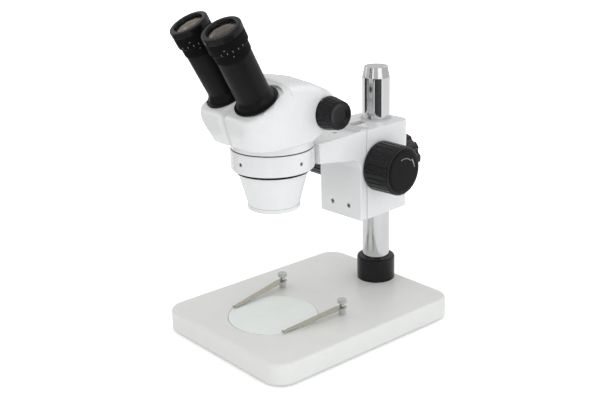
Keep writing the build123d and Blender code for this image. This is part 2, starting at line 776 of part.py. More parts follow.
def plate_screws():
    """Two socket screws low on the front of the plate."""
    screw = cap_screw(screw_head_radius, screw_head_height - screw_sink, screw_radius, plate_thickness)
    front = plate_front + screw_sink
    height = block_low + plate_screw_rise
    return Compound([Pos(side * plate_screw_spacing / 2, front, height) * Rot(90, 0, 0) * screw
                     for side in (-1, 1)])


def slide_bar():
    """Dovetail bar on the back of the plate, grooved for the rack."""
    bar = Pos(0, 0, block_low + slide_short) * extrude(slide_outline(0), block_height - slide_short)
    half = gear_width / 2 + running_gap
    bar -= slab(-half, half, -rack_root - rack_back, 0, 0, block_high + overcut)
    for side in (-1, 1):
        place = Pos(side * plate_screw_spacing / 2, plate_front, block_low + plate_screw_rise) * Rot(90, 0, 0)
        bar -= place * rod(screw_radius + running_gap, -plate_thickness - screw_head_height - loose_gap, 0)
    return bar


def ring_liner():
    """Black sleeve in the ring: it shows as a thin line above and below."""
    low = ring_low - liner_hang
    shape = turned((liner_bore, low), (liner_radius, low), (liner_radius, ring_top),
                   (liner_lip_radius, ring_top), (liner_lip_radius, flange_low), (liner_bore, flange_low))
    return Pos(0, -ring_reach, 0) * shape


def ring_screws():
    """Three grub screws that hold the head in the ring."""
    end = ring_radius - grub_sink
    screw = rod(ring_screw_radius, ring_bore + seat_gap, end)
    screw -= Pos(0, 0, end) * socket(ring_screw_radius * key_share, key_depth)
    middle = Pos(0, -ring_reach, ring_low + ring_height / 2)
    return Compound([middle * Rot(0, 0, -turn) * to_right(screw) for turn in (0, 90, 180)])


# Head

def head_base():
    """Flange that rests on the ring and neck that goes down through it."""
    bore = neck_radius - neck_wall
    return turned((bore, nose_top), (neck_radius, nose_top), (neck_radius, flange_low),
                  (flange_radius, flange_low), (flange_radius, shell_low), (bore, shell_low))


def shell_section(height, front, half_width, corner):
    """Level section of the right half of the head."""
    flat = outline((shell_seam, -front), (half_width, -front, corner),
                   (half_width, shell_waist_y, shell_side_round),
                   (half_width - shell_waist, zoom_behind, shell_side_round),
                   (half_width - shell_tail, shell_back, shell_side_round), (shell_seam, shell_back))
    return Pos(0, 0, height) * flat


def head_side():
    """Head seen from the side: leaning front, slope for the tubes, falling back and cut-away rear."""
    slope = tan(radians(shell_slope))
    foot = tube_foot_z
    ridge_y = tube_foot_y + (ridge_high - foot) / slope
    nose_y = -shell_front - shell_nose
    nose_z = foot + (nose_y - tube_foot_y) * slope
    back = [(y, shell_low + rise, rounding) for y, rise, rounding in shell_back_line]
    face = outline((nose_y, shell_low), (nose_y, nose_z), (ridge_y, ridge_high, ridge_round), *back)
    return extrude(Plane.YZ * face, shell_half_width + overcut, both=True)


def tube_recess():
    """Room in the right shell for the tube's flange and stub over the whole swing."""
    floor = shell_low + stub_floor_rise
    open_floor = slab(-far, far, -far, far, floor, ridge_high)
    cutters = []
    for share in (0.0, 0.5, 1.0):
        swung = Pos(pupil_pivot_x, 0, 0) * Rot(0, 0, share * pupil_swing) * Pos(-pupil_pivot_x, 0, 0)
        place = swung * tube_place
        cutters.append(place * rod(tube_flange_radius + recess_clearance, -recess_depth, shell_ridge / 2))
        stub = place * rod(stub_radius + recess_clearance, -shell_ridge, overcut)
        cutters.append(stub & open_floor)
    return fused(cutters)


def head_shell():
    """Right half of the head's casing."""
    narrow = shell_half_width - shell_taper
    full_height = shell_low + shell_full_rise
    sections = [shell_section(shell_low, shell_foot_front, narrow, shell_foot_corner),
                shell_section(full_height, shell_front, shell_half_width, shell_corner),
                shell_section(ridge_high + shell_nose, shell_front + shell_lean, narrow, shell_corner)]
    body = loft(sections) & head_side()
    front_edges = body.edges().filter_by_position(Axis.X, 0, 2 * shell_seam)
    seam_edges = [edge for edge in front_edges
                  if edge.center().Y < -shell_foot_front + shell_taper and abs(edge.tangent_at(0.5).Z) > 0.7]
    body = fillet(seam_edges, shell_valley)
    line = Pos(0, zoom_behind, zoom_height)
    outside = shell_half_width + zoom_knob_length
    cuts = [tube_recess()]
    cuts.append(line * to_right(rod(zoom_shaft_radius + loose_gap, -overcut, outside)))
    cuts.append(line * to_right(rod(zoom_bush_radius + running_gap, zoom_floor - zoom_bush_length, outside)))
    cuts.append(line * to_right(rod(zoom_knob_radius + zoom_margin, zoom_floor, outside)))
    return body - cuts


def zoom_bushes():
    """Bushes that carry the zoom shaft in the sides of the casing."""
    start = zoom_floor - zoom_bush_length
    bore = rod(zoom_shaft_radius + running_gap, start - overcut, zoom_floor + overcut)
    bush = to_right(rod(zoom_bush_radius, start, zoom_floor) - bore)
    return Pos(0, zoom_behind, zoom_height) * Compound([bush, mirrored(bush)])


def nose_cone():
    """White cone under the ring, screwed into the neck."""
    spigot = neck_radius - neck_wall - running_gap
    inner = spigot - nose_wall
    tip_inner = nose_tip_radius - nose_wall
    return turned((spigot, nose_top + nose_spigot_length), (spigot, nose_top), (nose_radius, nose_top),
                  (nose_tip_radius, nose_low), (tip_inner, nose_low),
                  (tip_inner, nose_low + nose_mouth_depth), (inner, nose_top), (inner, nose_top + nose_spigot_length))


def nose_ring():
    """Lip below the cone: auxiliary lenses and ring lights go on it."""
    spigot = nose_tip_radius - nose_wall - running_gap
    low = nose_low - nose_lip_height
    inner = spigot - lip_wall
    high = nose_low + lip_spigot_length
    return turned((inner, low + lip_edge), (nose_lip_radius - lip_edge, low),
                  (nose_lip_radius, low + lip_edge), (nose_lip_radius, nose_low), (spigot, nose_low), (spigot, high), (inner, high))


def objective_cell():
    """Black disc in the nose with a seat for each objective lens."""
    radius = nose_tip_radius - nose_wall - lip_wall - 2 * running_gap
    low = nose_low - nose_lip_height + cell_sink
    disc = rod(radius, low, low + cell_depth)
    for side in (-1, 1):
        place = Pos(side * lens_spacing / 2, 0, 0)
        disc -= place * rod(lens_radius + running_gap, low + cell_seat, low + cell_depth + overcut)
        disc -= place * rod(lens_radius - overcut, low - overcut, low + cell_depth)
    return disc


def objective_lenses():
    """The two front lenses, one for each eye."""
    low = nose_low - nose_lip_height + cell_sink + cell_seat
    high = low + lens_thickness
    lens = turned((0, low - lens_bulge), (lens_radius - 2 * overcut, low - lens_bulge / 2),
                  (lens_radius - overcut - seat_gap, low), (lens_radius, low), (lens_radius, high), (0, high))
    return Compound([Pos(side * lens_spacing / 2, 0, 0) * lens for side in (-1, 1)])


# Zoom drive

def zoom_shaft():
    """Shaft from one zoom knob to the other."""
    end = zoom_knob_start + zoom_knob_length - zoom_end_wall
    return Pos(0, zoom_behind, zoom_height) * to_right(rod(zoom_shaft_radius, -end, end))


def zoom_knob():
    """Right zoom knob: tapered, fluted and dished."""
    low = zoom_knob_start
    high = low + zoom_knob_length
    band = low + zoom_band
    body = turned((0, low), (zoom_knob_radius - edge_break, low), (zoom_knob_radius, low + edge_break),
                  (zoom_knob_radius, band), (zoom_rim_radius, high, zoom_rim_round),
                  (zoom_rim_radius - zoom_lip, high), (0, high - zoom_dish))
    body -= rod(zoom_shaft_radius + press_gap, low - overcut, high - zoom_end_wall + seat_gap)
    lean = degrees((zoom_knob_radius - zoom_rim_radius) / (zoom_knob_length - zoom_band))
    flute = Rot(0, -lean, 0) * rod(zoom_flute_radius, 0, zoom_knob_length)
    cutter = Pos(zoom_knob_radius + zoom_flute_out, 0, band + edge_break) * flute
    body -= [Rot(0, 0, 360 * step / zoom_flutes) * cutter for step in range(zoom_flutes)]
    return Pos(0, zoom_behind, zoom_height) * to_right(body)


# Tubes and eyepieces

def tube():
    """Right tube with its flange and the stub that turns on the level floor in the casing."""
    pipe = turned((tube_bore, -tube_flange_thickness), (tube_flange_radius, -tube_flange_thickness),
                  (tube_flange_radius, -edge_break), (tube_flange_radius - edge_break, 0), (tube_flare, 0),
                  (tube_flare - edge_break, tube_flare_step),
                  (tube_radius, tube_flare_length, tube_flare_round), (tube_radius, tube_length), (tube_bore, tube_length))
    floor = shell_low + stub_floor_rise + loose_gap
    stub = tube_place * (rod(stub_radius, -shell_ridge, -tube_flange_thickness))
    foot = stub & slab(-far, far, -far, far, floor, ridge_high)
    bore = tube_place * rod(stub_radius - stub_wall, -recess_depth - stub_wall, overcut)
    plug = tube_place * rod(tube_bore + edge_break, -tube_flange_thickness, -tube_flange_thickness / 2)
    return (tube_place * pipe) + (foot + plug - bore)


def diopter_ring():
    """Ring with the diopter scale, on the end of the tube."""
    bore = tube_radius + running_gap
    shape = turned((bore, diopter_start), (tube_radius + edge_break, diopter_start),
                   (diopter_radius, diopter_start + diopter_chamfer), (diopter_radius, diopter_end),
                   (bore, diopter_end))
    return tube_place * shape


def eyepiece_barrel():
    """Eyepiece body: a sleeve down into the tube and a head that carries the eyecup."""
    seat = eye_lens_radius + running_gap
    throat = barrel_bore - eye_stop
    shape = turned((barrel_bore, barrel_start), (barrel_radius, barrel_start), (barrel_radius, diopter_end),
                   (eyepiece_radius, diopter_end), (eyepiece_radius, barrel_top), (seat, barrel_top),
                   (seat, eye_seat), (throat, eye_seat), (throat, eyepiece_end - barrel_throat),
                   (barrel_bore, barrel_start + barrel_step))
    return tube_place * shape


def eyecup():
    """Rubber cup over the head of the eyepiece."""
    bore = eyepiece_radius + running_gap
    roof = barrel_top + seat_gap
    shape = turned((bore, eyecup_low), (eyecup_radius, eyecup_low, eyecup_low_round),
                   (eyecup_radius, eyepiece_end, eyecup_high_round),
                   (eyecup_mouth + eyecup_wall, eyepiece_end, eyecup_mouth_round), (eyecup_mouth, roof),
                   (bore, roof))
    return tube_place * shape


def eye_lens():
    """Eye lens of an eyepiece."""
    rim = eye_seat + eye_lens_rim
    lens = turned((0, eye_seat), (eye_lens_radius, eye_seat), (eye_lens_radius, rim),
                  (eye_lens_radius - edge_break, rim), (eye_lens_radius / 2, rim + eye_lens_bulge * 0.8),
                  (0, rim + eye_lens_bulge))
    return tube_place * lens


# Everything in its place

def stand_parts():
    """Pieces that stay put on the table."""
    posts = [clip_place(side) * clip_post() for side in (-1, 1)]
    knobs = [clip_place(side) * clip_knob() for side in (-1, 1)]
    return {"base_plate": base_plate(), "rubber_feet": rubber_feet(), "stage_plate": stage_plate(),
            "clip_posts": Compound(posts), "clip_knobs": Compound(knobs),
            "pillar": pillar(), "pillar_bolt": pillar_bolt(), "pillar_collar": pillar_collar(),
            "collar_screw": collar_screw(),
            "clip_arm_left": clip_place(-1) * Rot(0, 0, clip_turn) * clip_arm(),
            "clip_arm_right": clip_place(1) * Rot(0, 0, -clip_turn) * clip_arm()}


def block_parts():
    """Pieces that swing with the focus block."""
    return {"pillar_bush": pillar_bush(), "block_housing": block_housing(), "shaft_bushes": shaft_bushes(),
            "clamp_knob": clamp_knob(), "clamp_screw": clamp_screw(), "focus_shaft": focus_shaft(),
            "focus_pinion": focus_pinion(), "focus_knob_right": focus_knob(),
            "focus_knob_left": mirrored(focus_knob()), "focus_cap_right": focus_cap(),
            "focus_cap_left": mirrored(focus_cap()), "carriage_arm": carriage_arm(),
            "slide_bar": slide_bar(), "focus_rack": focus_rack(), "plate_screws": plate_screws(),
            "arm_screw": arm_screw(), "ring_liner": ring_liner(), "ring_screws": ring_screws()}


def head_parts():
    """Pieces that turn with the head in the ring."""
    parts = {"head_base": head_base(), "nose_cone": nose_cone(), "nose_ring": nose_ring(),
             "objective_cell": objective_cell(), "objective_lenses": objective_lenses(),
             "zoom_bushes": zoom_bushes(), "zoom_shaft": zoom_shaft()}
    pairs = {"head_shell": head_shell(), "zoom_knob": zoom_knob(), "tube": tube(),
             "diopter_ring": diopter_ring(), "eyepiece_barrel": eyepiece_barrel(), "eyecup": eyecup(),
             "eye_lens": eye_lens()}
    for name, shape in pairs.items():
        parts[name + "_right"] = shape
        parts[name + "_left"] = mirrored(shape)
    return parts


def main():
    os.makedirs("parts", exist_ok=True)
    for name, shape in stand_parts().items():
        export_step(shape, f"parts/{name}.step")
    for name, shape in block_parts().items():
        export_step(block_place * shape, f"parts/{name}.step")
    for name, shape in head_parts().items():
        export_step(head_place * shape, f"parts/{name}.step")


main()
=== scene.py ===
import json
import math
from functools import partial

import bpy
import numpy as np
from bpy.props import FloatProperty, FloatVectorProperty, IntProperty, PointerProperty
from bpy.types import Operator, Panel, PropertyGroup
from mathutils import Matrix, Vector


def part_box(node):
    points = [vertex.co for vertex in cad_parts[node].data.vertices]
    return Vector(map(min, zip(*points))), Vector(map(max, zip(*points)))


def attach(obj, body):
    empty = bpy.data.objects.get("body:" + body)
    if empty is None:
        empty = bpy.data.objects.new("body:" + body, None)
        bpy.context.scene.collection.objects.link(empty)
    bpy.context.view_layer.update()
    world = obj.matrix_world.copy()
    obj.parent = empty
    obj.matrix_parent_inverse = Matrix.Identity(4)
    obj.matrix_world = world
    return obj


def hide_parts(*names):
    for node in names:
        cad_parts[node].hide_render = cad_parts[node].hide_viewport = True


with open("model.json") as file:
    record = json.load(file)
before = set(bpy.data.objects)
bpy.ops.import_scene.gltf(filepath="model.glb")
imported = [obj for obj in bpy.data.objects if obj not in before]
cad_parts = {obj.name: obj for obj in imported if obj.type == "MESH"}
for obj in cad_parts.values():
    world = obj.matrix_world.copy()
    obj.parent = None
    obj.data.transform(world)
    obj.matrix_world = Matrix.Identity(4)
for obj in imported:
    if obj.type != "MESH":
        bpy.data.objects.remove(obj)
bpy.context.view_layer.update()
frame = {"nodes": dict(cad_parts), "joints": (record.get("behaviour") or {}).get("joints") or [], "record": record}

bl_info = {
    "name": "Stereo Zoom Microscope",
    "version": (1, 0, 0),
    "blender": (4, 5, 0),
    "location": "3D View > Sidebar > Microscope",
    "description": "Dresses the microscope's frame with finished surfaces, materials, lights and a camera",
    "category": "Object",
}

MM = 0.001
TURN = 2 * math.pi
JOINTS = {joint["name"]: joint for joint in frame["joints"]}

# Sizes that more than one piece takes up, in millimetres

FOOT_RADIUS = 9.0           # rubber foot
PILLAR_RADIUS = 16.0
CLIP_EYE = 5.4              # round end of a stage clip
CLIP_REACH = 79.9           # from a clip's post to its tip
BLOCK_HALF = 32.0           # half the width of the focus block
BLOCK_BACK = 24.0           # back of the block, from the pillar's axis
PLATE_FRONT = -60.0         # front of the carriage's plate, from the pillar's axis
PLATE_SCREWS = (-12.7, 12.7)
PLATE_SCREW_RISE = 14.5     # from the plate's lower edge to its screws
RING_HEIGHT = 22.2
CAP_SEAT = 65.2             # inner and outer face of a focus knob's cap, from the middle plane
CAP_FACE = 68.6
ZOOM_SEAT = 43.2            # inner face of a zoom knob, from the middle plane
ZOOM_RADIUS = 17.65
EYE_JOINT = 60.4            # height of the eyepiece joint along each tube
RING_RADIUS = 18.7          # diopter ring
SLEEVE_FOOT = 65.9          # where the diopter ring ends and the scale sleeve begins
SLEEVE_RADIUS = 20.4
BARREL_RADIUS = 19.0        # barrel inside the sleeve and the rim


# Settings that a user may change. Lengths are kept in metres, as Blender keeps them

def size(name, description, millimetres):
    """A length property with its default given in millimetres."""
    return FloatProperty(name=name, description=description, default=millimetres * MM, unit="LENGTH",
                         precision=5)


def tint(name, description, red, green, blue):
    """A colour property in linear light."""
    return FloatVectorProperty(name=name, description=description, default=(red, green, blue), size=3,
                               subtype="COLOR", min=0.0, max=1.0)


class MicroscopeFinish(PropertyGroup):
    """Colours of the microscope's finishes."""
    white: tint("White paint", "Paint of the head, arm and focus block", 0.74, 0.745, 0.748)
    base: tint("Base paint", "Paint of the base", 0.71, 0.715, 0.69)
    plate: tint("Stage plate", "Frosted face of the stage plate", 0.76, 0.80, 0.775)
    black: tint("Black paint", "Paint of the tubes and the collar", 0.0065, 0.0065, 0.007)
    plastic: tint("Black plastic", "Moulded knobs", 0.007, 0.007, 0.008)
    rubber: tint("Rubber", "Eyecups and feet", 0.005, 0.005, 0.005)
    chrome: tint("Chrome", "Plated pillar and clip posts", 0.67, 0.67, 0.675)
    steel: tint("Steel", "Screws, strips and shafts", 0.72, 0.70, 0.66)
    spring: tint("Spring steel", "Stage clips", 0.56, 0.54, 0.45)
    bronze: tint("Bronze", "Bearing bushes", 0.45, 0.29, 0.13)
    glass: tint("Glass", "Coated lenses", 0.30, 0.26, 0.22)
    marks: tint("Marks", "Printed ticks and dots", 0.30, 0.30, 0.29)


class MicroscopeHead(PropertyGroup):
    """Sizes of the head's casing."""
    half_width: size("Half width", "Middle plane to the casing's side", 50.8)
    front: size("Front reach", "Ring axis to the foremost face", 62.4)
    foot: size("Foot set-back", "How far the front draws in at the underside", 9.5)
    corner: size("Front corner", "Rounding between front and side", 18.0)
    edge: size("Upper edge", "Rounding between the upper faces and the sides", 16.0)
    ridge: size("Ridge rounding", "Rounding between the slope and the top", 7.0)
    valley: size("Valley rounding", "Rounding of each shell beside the seam at the front", 7.0)
    seam: size("Half seam", "Half of the joint between the two shells", 0.15)
    columns: IntProperty(name="Columns", description="Points round each shell", default=340)
    rows: IntProperty(name="Rows", description="Points from pole to pole of each shell", default=220)


class MicroscopeKnobs(PropertyGroup):
    """Counts and depths of the knobs' flutes."""
    focus_flutes: IntProperty(name="Focus flutes", description="Flutes round a focus knob", default=28)
    focus_depth: size("Focus flute depth", "Depth of a focus knob's flutes", 0.85)
    zoom_flutes: IntProperty(name="Zoom flutes", description="Flutes round a zoom knob", default=24)
    zoom_depth: size("Zoom flute depth", "Depth of a zoom knob's flutes", 0.7)
    clamp_lobes: IntProperty(name="Clamp lobes", description="Lobes of the clamp knob", default=10)


class MicroscopeStage(PropertyGroup):
    """Camera and light."""
    azimuth: FloatProperty(name="Azimuth", description="Camera turned from the front",
                           default=math.radians(49.80176), subtype="ANGLE")
    elevation: FloatProperty(name="Elevation", description="Camera above the horizon",
                             default=math.radians(18.56425), subtype="ANGLE")
    roll: FloatProperty(name="Roll", description="Camera turned about its view",
                        default=math.radians(-1.4231), subtype="ANGLE")
    distance: size("Distance", "Camera to the point it looks at", 1129.585)
    focal: FloatProperty(name="Focal length", description="Millimetres on a sensor 36 mm wide",
                         default=59.312)
    sky: FloatProperty(name="Sky strength", description="Soft light from all round", default=0.94)
    lamp: FloatProperty(name="Lamp strength", description="Light from the lamps, as a factor", default=1.0)


# Places, taken from the packed joints and boxes, in millimetres

def unit(vector):
    """The vector at length one."""
    vector = np.asarray(vector, float)
    return vector / np.linalg.norm(vector)


def placed(origin, x_axis, z_axis):
    """4x4 matrix of a frame with the given origin, its Z axis exactly and its X axis nearly as given."""
    z_axis = unit(z_axis)
    y_axis = unit(np.cross(z_axis, x_axis))
    matrix = np.eye(4)
    matrix[:3, 0] = np.cross(y_axis, z_axis)
    matrix[:3, 1] = y_axis
    matrix[:3, 2] = z_axis
    matrix[:3, 3] = origin
    return matrix


def joint_point(name):
    """Point on a joint's axis."""
    return np.array(JOINTS[name]["pos_m"], float) / MM


def joint_axis(name):
    """Direction of a joint's axis."""
    return unit(JOINTS[name]["axis"])


def level(name, x_axis):
    """Upright frame on the table below a joint, with its X axis nearly as given."""
    point = joint_point(name)
    return placed((point[0], point[1], 0.0), x_axis, (0, 0, 1))


def low(name):
    """Lowest corner of a node's box."""
    return np.array(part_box(name)[0]) / MM


def high(name):
    """Highest corner of a node's box."""
    return np.array(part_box(name)[1]) / MM


def centre(name):
    """Middle of a node's box."""
    return (low(name) + high(name)) / 2


def at(matrix, x, y, z):
    """Frame moved to a point given in its own coordinates."""
    moved = matrix.copy()
    moved[:3, 3] = matrix[:3, :3] @ np.array([x, y, z], float) + matrix[:3, 3]
    return moved


def facing(matrix, z_axis, x_axis=(0, 0, 1)):
    """Frame at the same origin whose Z axis is a direction given in the old frame."""
    turn = matrix[:3, :3]
    return placed(matrix[:3, 3], turn @ np.array(x_axis, float), turn @ np.array(z_axis, float))


STAND = np.eye(4)
PILLAR = level("block_swing", (1, 0, 0))
BLOCK = level("block_swing", joint_axis("focus_turn"))
RING = level("head_turn", joint_axis("focus_turn"))
HEAD = level("head_turn", joint_axis("zoom_turn"))


def tube_frame(side):
    """Frame of a tube: Z up along its axis, origin in the upper face of its flange."""
    name = "diopter_" + side
    axis = joint_axis(name)
    return placed(joint_point(name) - axis * EYE_JOINT, HEAD[:3, 0], axis)


# Surfaces worked out as whole arrays, in millimetres until the mesh is made

def rounded_line(corners, closed=False, support=0.35, per_turn=60):
    """Line through corners (u, v, rounding). Each rounding is an arc that touches both of its runs,
    and each long run has a point close to both of its ends, so that flat faces shade flat."""
    pts = np.array([corner[:2] for corner in corners], float)
    radii = [corner[2] if len(corner) > 2 else 0.0 for corner in corners]
    count = len(pts)
    arcs = []
    for i in range(count):
        if (not closed and i in (0, count - 1)) or radii[i] <= 0:
            arcs.append(pts[i][None])
            continue
        back = unit(pts[i - 1] - pts[i])
        ahead = unit(pts[(i + 1) % count] - pts[i])
        half = math.acos(np.clip(back @ ahead, -1, 1)) / 2
        centre = pts[i] + unit(back + ahead) * radii[i] / math.sin(half)
        start = pts[i] + back * radii[i] / math.tan(half) - centre
        bend = math.pi - 2 * half
        sign = 1.0 if back[0] * ahead[1] - back[1] * ahead[0] < 0 else -1.0
        angle = np.linspace(0, bend, max(4, int(bend / TURN * per_turn) + 1)) * sign
        arcs.append(centre + np.stack([np.cos(angle) * start[0] - np.sin(angle) * start[1],
                                       np.sin(angle) * start[0] + np.cos(angle) * start[1]], 1))
    line = []
    for i in range(count):
        line.append(arcs[i])
        if closed or i < count - 1:
            a = arcs[i][-1]
            b = arcs[(i + 1) % count][0]
            run = np.linalg.norm(b - a)
            if run > 3 * support:
                line.append(np.stack([a + (b - a) * support / run, b - (b - a) * support / run]))
    return np.concatenate(line)


def move(points, matrix):
    """Points of a local frame in the row frame."""
    return points @ matrix[:3, :3].T + matrix[:3, 3]


def write_mesh(name, points, loops, totals):
    """Mesh of points in metres, of the faces' corners and of the number of corners of each face."""
    mesh = bpy.data.meshes.new(name)
    mesh.vertices.add(len(points))
    mesh.vertices.foreach_set("co", points.astype(np.float32).ravel())
    mesh.loops.add(len(loops))
    mesh.loops.foreach_set("vertex_index", loops.astype(np.int32))
    mesh.polygons.add(len(totals))
    mesh.polygons.foreach_set("loop_start", (np.cumsum(totals) - totals).astype(np.int32))
    mesh.polygons.foreach_set("loop_total", totals.astype(np.int32))
    mesh.update(calc_edges=True)
    return mesh


def grid_mesh(name, grid, ring=False):
    """Closed mesh, facing out, of a grid (row, column, xyz) whose columns go round. With ring the rows
    go round as well; otherwise one flat face closes each end."""
    rows, cols = grid.shape[:2]
    index = np.arange(rows * cols).reshape(rows, cols)
    lower = index if ring else index[:-1]
    upper = np.roll(index, -1, 0) if ring else index[1:]
    quads = np.stack([lower, np.roll(lower, -1, 1), np.roll(upper, -1, 1), upper], -1).reshape(-1, 4)
    points = grid.reshape(-1, 3)
    across = points[quads[:, 2]] - points[quads[:, 0]], points[quads[:, 3]] - points[quads[:, 1]]
    outward = np.einsum("ij,ij->i", np.cross(*across), points[quads].mean(1) - points.mean(0)).sum()
    loops = quads.ravel()
    totals = np.full(len(quads), 4)
    if not ring:
        loops = np.concatenate([loops, index[0][::-1], index[-1]])
        totals = np.concatenate([totals, [cols, cols]])
    if outward < 0:
        loops = loops[::-1]
        totals = totals[::-1]
    return write_mesh(name, points * MM, loops, totals)


def round_grid(line, count, matrix, depth=None):
    """Grid of a line of (radius, height) carried round Z, less depth(angle, height, radius) if given."""
    angle = np.linspace(0, TURN, count, endpoint=False)[None, :]
    radius = np.repeat(line[:, :1], count, 1)
    height = np.repeat(line[:, 1:], count, 1)
    if depth is not None:
        radius = radius - depth(angle, height, radius)
    return move(np.stack([radius * np.cos(angle), radius * np.sin(angle), height], -1), matrix)


def turned(name, corners, matrix, count=128, ring=False, depth=None, support=0.35):
    """Solid of revolution: a rounded profile (radius, height, rounding) carried round Z.
    With ring the profile closes on itself round a bore, otherwise it runs from axis to axis."""
    line = rounded_line(corners, closed=ring, support=support)
    return grid_mesh(name, round_grid(line if ring else line[1:-1], count, matrix, depth), ring)


def rod(name, radius, start, end, matrix, count):
    """Plain round bar along Z between two heights."""
    return turned(name, [(0, start), (radius, start), (radius, end), (0, end)], matrix, count)


def outline_loop(corners, per_turn=60, support=0.35):
    """Closed outline with rounded corners: its points and their outward directions."""
    line = rounded_line(corners, closed=True, per_turn=per_turn, support=support)
    ahead = np.roll(line, -1, 0) - line
    ahead /= np.linalg.norm(ahead, axis=1)[:, None]
    tangent = ahead + np.roll(ahead, 1, 0)
    tangent /= np.linalg.norm(tangent, axis=1)[:, None]
    area = (line[:, 0] * np.roll(line[:, 1], -1) - line[:, 1] * np.roll(line[:, 0], -1)).sum()
    return line, np.stack([tangent[:, 1], -tangent[:, 0]], -1) * (1 if area > 0 else -1)


def slab(name, corners, bottom, top, matrix, edge=0.8, low_edge=None):
    """Slab: a profile with rounded upper and lower edges carried round an outline with rounded corners."""
    low_edge = edge if low_edge is None else low_edge
    inner = max(edge, low_edge) + 0.2
    rows = rounded_line([(inner, bottom), (0, bottom, low_edge), (0, top, edge), (inner, top)])
    line, outward = outline_loop(corners)
    flat = line[None] - outward[None] * rows[:, :1, None]
    height = np.repeat(rows[:, 1:2, None], len(line), 1)
    return grid_mesh(name, move(np.concatenate([flat, height], -1), matrix))


def box_corners(x_low, x_high, y_low, y_high, rounding=0.0):
    """Corners of a rectangle."""
    return [(x_low, y_low, rounding), (x_high, y_low, rounding), (x_high, y_high, rounding),
            (x_low, y_high, rounding)]


def swept(name, path, section, across):
    """Bar of a section (u, v), one set of points for each row of the path, carried along the path;
    u lies along the fixed direction across, v at right angles to it and to the path."""
    ahead = np.gradient(path, axis=0)
    ahead /= np.linalg.norm(ahead, axis=1)[:, None]
    up = np.cross(ahead, np.asarray(across, float)[None])
    up /= np.linalg.norm(up, axis=1)[:, None]
    side = np.cross(up, ahead)
    return grid_mesh(name, path[:, None] + side[:, None] * section[..., :1] + up[:, None] * section[..., 1:])


def cylinder_mark(name, matrix, radius, angle, width, start, length, rise=0.05):
    """Printed mark on a cylinder: a thin block that follows the round surface."""
    spread = width / radius
    rows = np.linspace(angle - spread / 2, angle + spread / 2, max(3, int(width / 0.4) + 2))
    ring = np.array([(radius - rise, start), (radius + rise, start), (radius + rise, start + length),
                     (radius - rise, start + length)])
    grid = np.stack([ring[None, :, 0] * np.cos(rows)[:, None], ring[None, :, 0] * np.sin(rows)[:, None],
                     np.repeat(ring[None, :, 1], len(rows), 0)], -1)
    return grid_mesh(name, move(grid, matrix))


def arc_mark(name, matrix, start, end, radius, widths, height, rise=0.06):
    """Printed arc on a flat face, from one angle to another, tapered between two widths."""
    rows = np.linspace(start, end, 40)[:, None]
    half = np.linspace(widths[0], widths[1], 40)[:, None] / 2
    span = radius + half * np.array([-1.0, 1.0, 1.0, -1.0])[None]
    tall = height + rise * np.array([-1.0, -1.0, 1.0, 1.0])[None]
    grid = np.stack([span * np.cos(rows), span * np.sin(rows), np.broadcast_to(tall, span.shape)], -1)
    return grid_mesh(name, move(grid, matrix))


def joined(name, meshes):
    """One mesh of several that don't touch."""
    points, loops, totals = [], [], []
    start = 0
    for mesh in meshes:
        co = np.zeros(len(mesh.vertices) * 3)
        mesh.vertices.foreach_get("co", co)
        corner = np.zeros(len(mesh.loops), int)
        mesh.loops.foreach_get("vertex_index", corner)
        total = np.zeros(len(mesh.polygons), int)
        mesh.polygons.foreach_get("loop_total", total)
        points.append(co.reshape(-1, 3))
        loops.append(corner + start)
        totals.append(total)
        start += len(mesh.vertices)
        bpy.data.meshes.remove(mesh)
    return write_mesh(name, np.concatenate(points), np.concatenate(loops), np.concatenate(totals))


def mirrored(name, mesh, matrix):
    """Mesh mirrored along a frame's X axis, with its faces turned to face out again."""
    copy = mesh.copy()
    copy.name = name
    flip = matrix @ np.diag([-1.0, 1.0, 1.0, 1.0]) @ np.linalg.inv(matrix)
    flip[:3, 3] *= MM
    copy.transform(Matrix(flip.tolist()))
    copy.flip_normals()
    return copy


def combined(mesh, others, operation="DIFFERENCE"):
    """Mesh after cutting others from it, joining them to it or keeping what they share."""
    base = bpy.data.objects.new("combined", mesh)
    bpy.context.scene.collection.objects.link(base)
    helpers = []
    for other in others:
        helper = bpy.data.objects.new("helper", other)
        bpy.context.scene.collection.objects.link(helper)
        helpers.append(helper)
        modifier = base.modifiers.new("combine", "BOOLEAN")
        modifier.operation = operation
        modifier.solver = "EXACT"
        modifier.object = helper
    result = bpy.data.meshes.new_from_object(base.evaluated_get(bpy.context.evaluated_depsgraph_get()))
    for helper in helpers + [base]:
        bpy.data.objects.remove(helper)
    if len(result.polygons) < 8:
        raise RuntimeError("nothing is left of " + mesh.name)
    return result


def add_piece(name, mesh, body, material, replaces=(), sharp=32.0, weighted=False):
    """Object of a mesh with its finish and body, in place of the CAD nodes it stands for."""
    mesh.name = name
    mesh.shade_smooth()
    mesh.set_sharp_from_angle(angle=math.radians(sharp))
    mesh.materials.clear()
    mesh.materials.append(bpy.data.materials[material])
    piece = bpy.data.objects.new(name, mesh)
    bpy.context.scene.collection.objects.link(piece)
    if weighted:
        modifier = piece.modifiers.new("flat faces", "WEIGHTED_NORMAL")
        modifier.keep_sharp = True
    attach(piece, body)
    if replaces:
        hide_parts(*replaces)
    return piece


# Materials

def add_node(tree, kind, **values):
    """Node of a kind; values set the node's own settings."""
    made = tree.nodes.new(kind)
    for key, value in values.items():
        setattr(made, key, value)
    return made


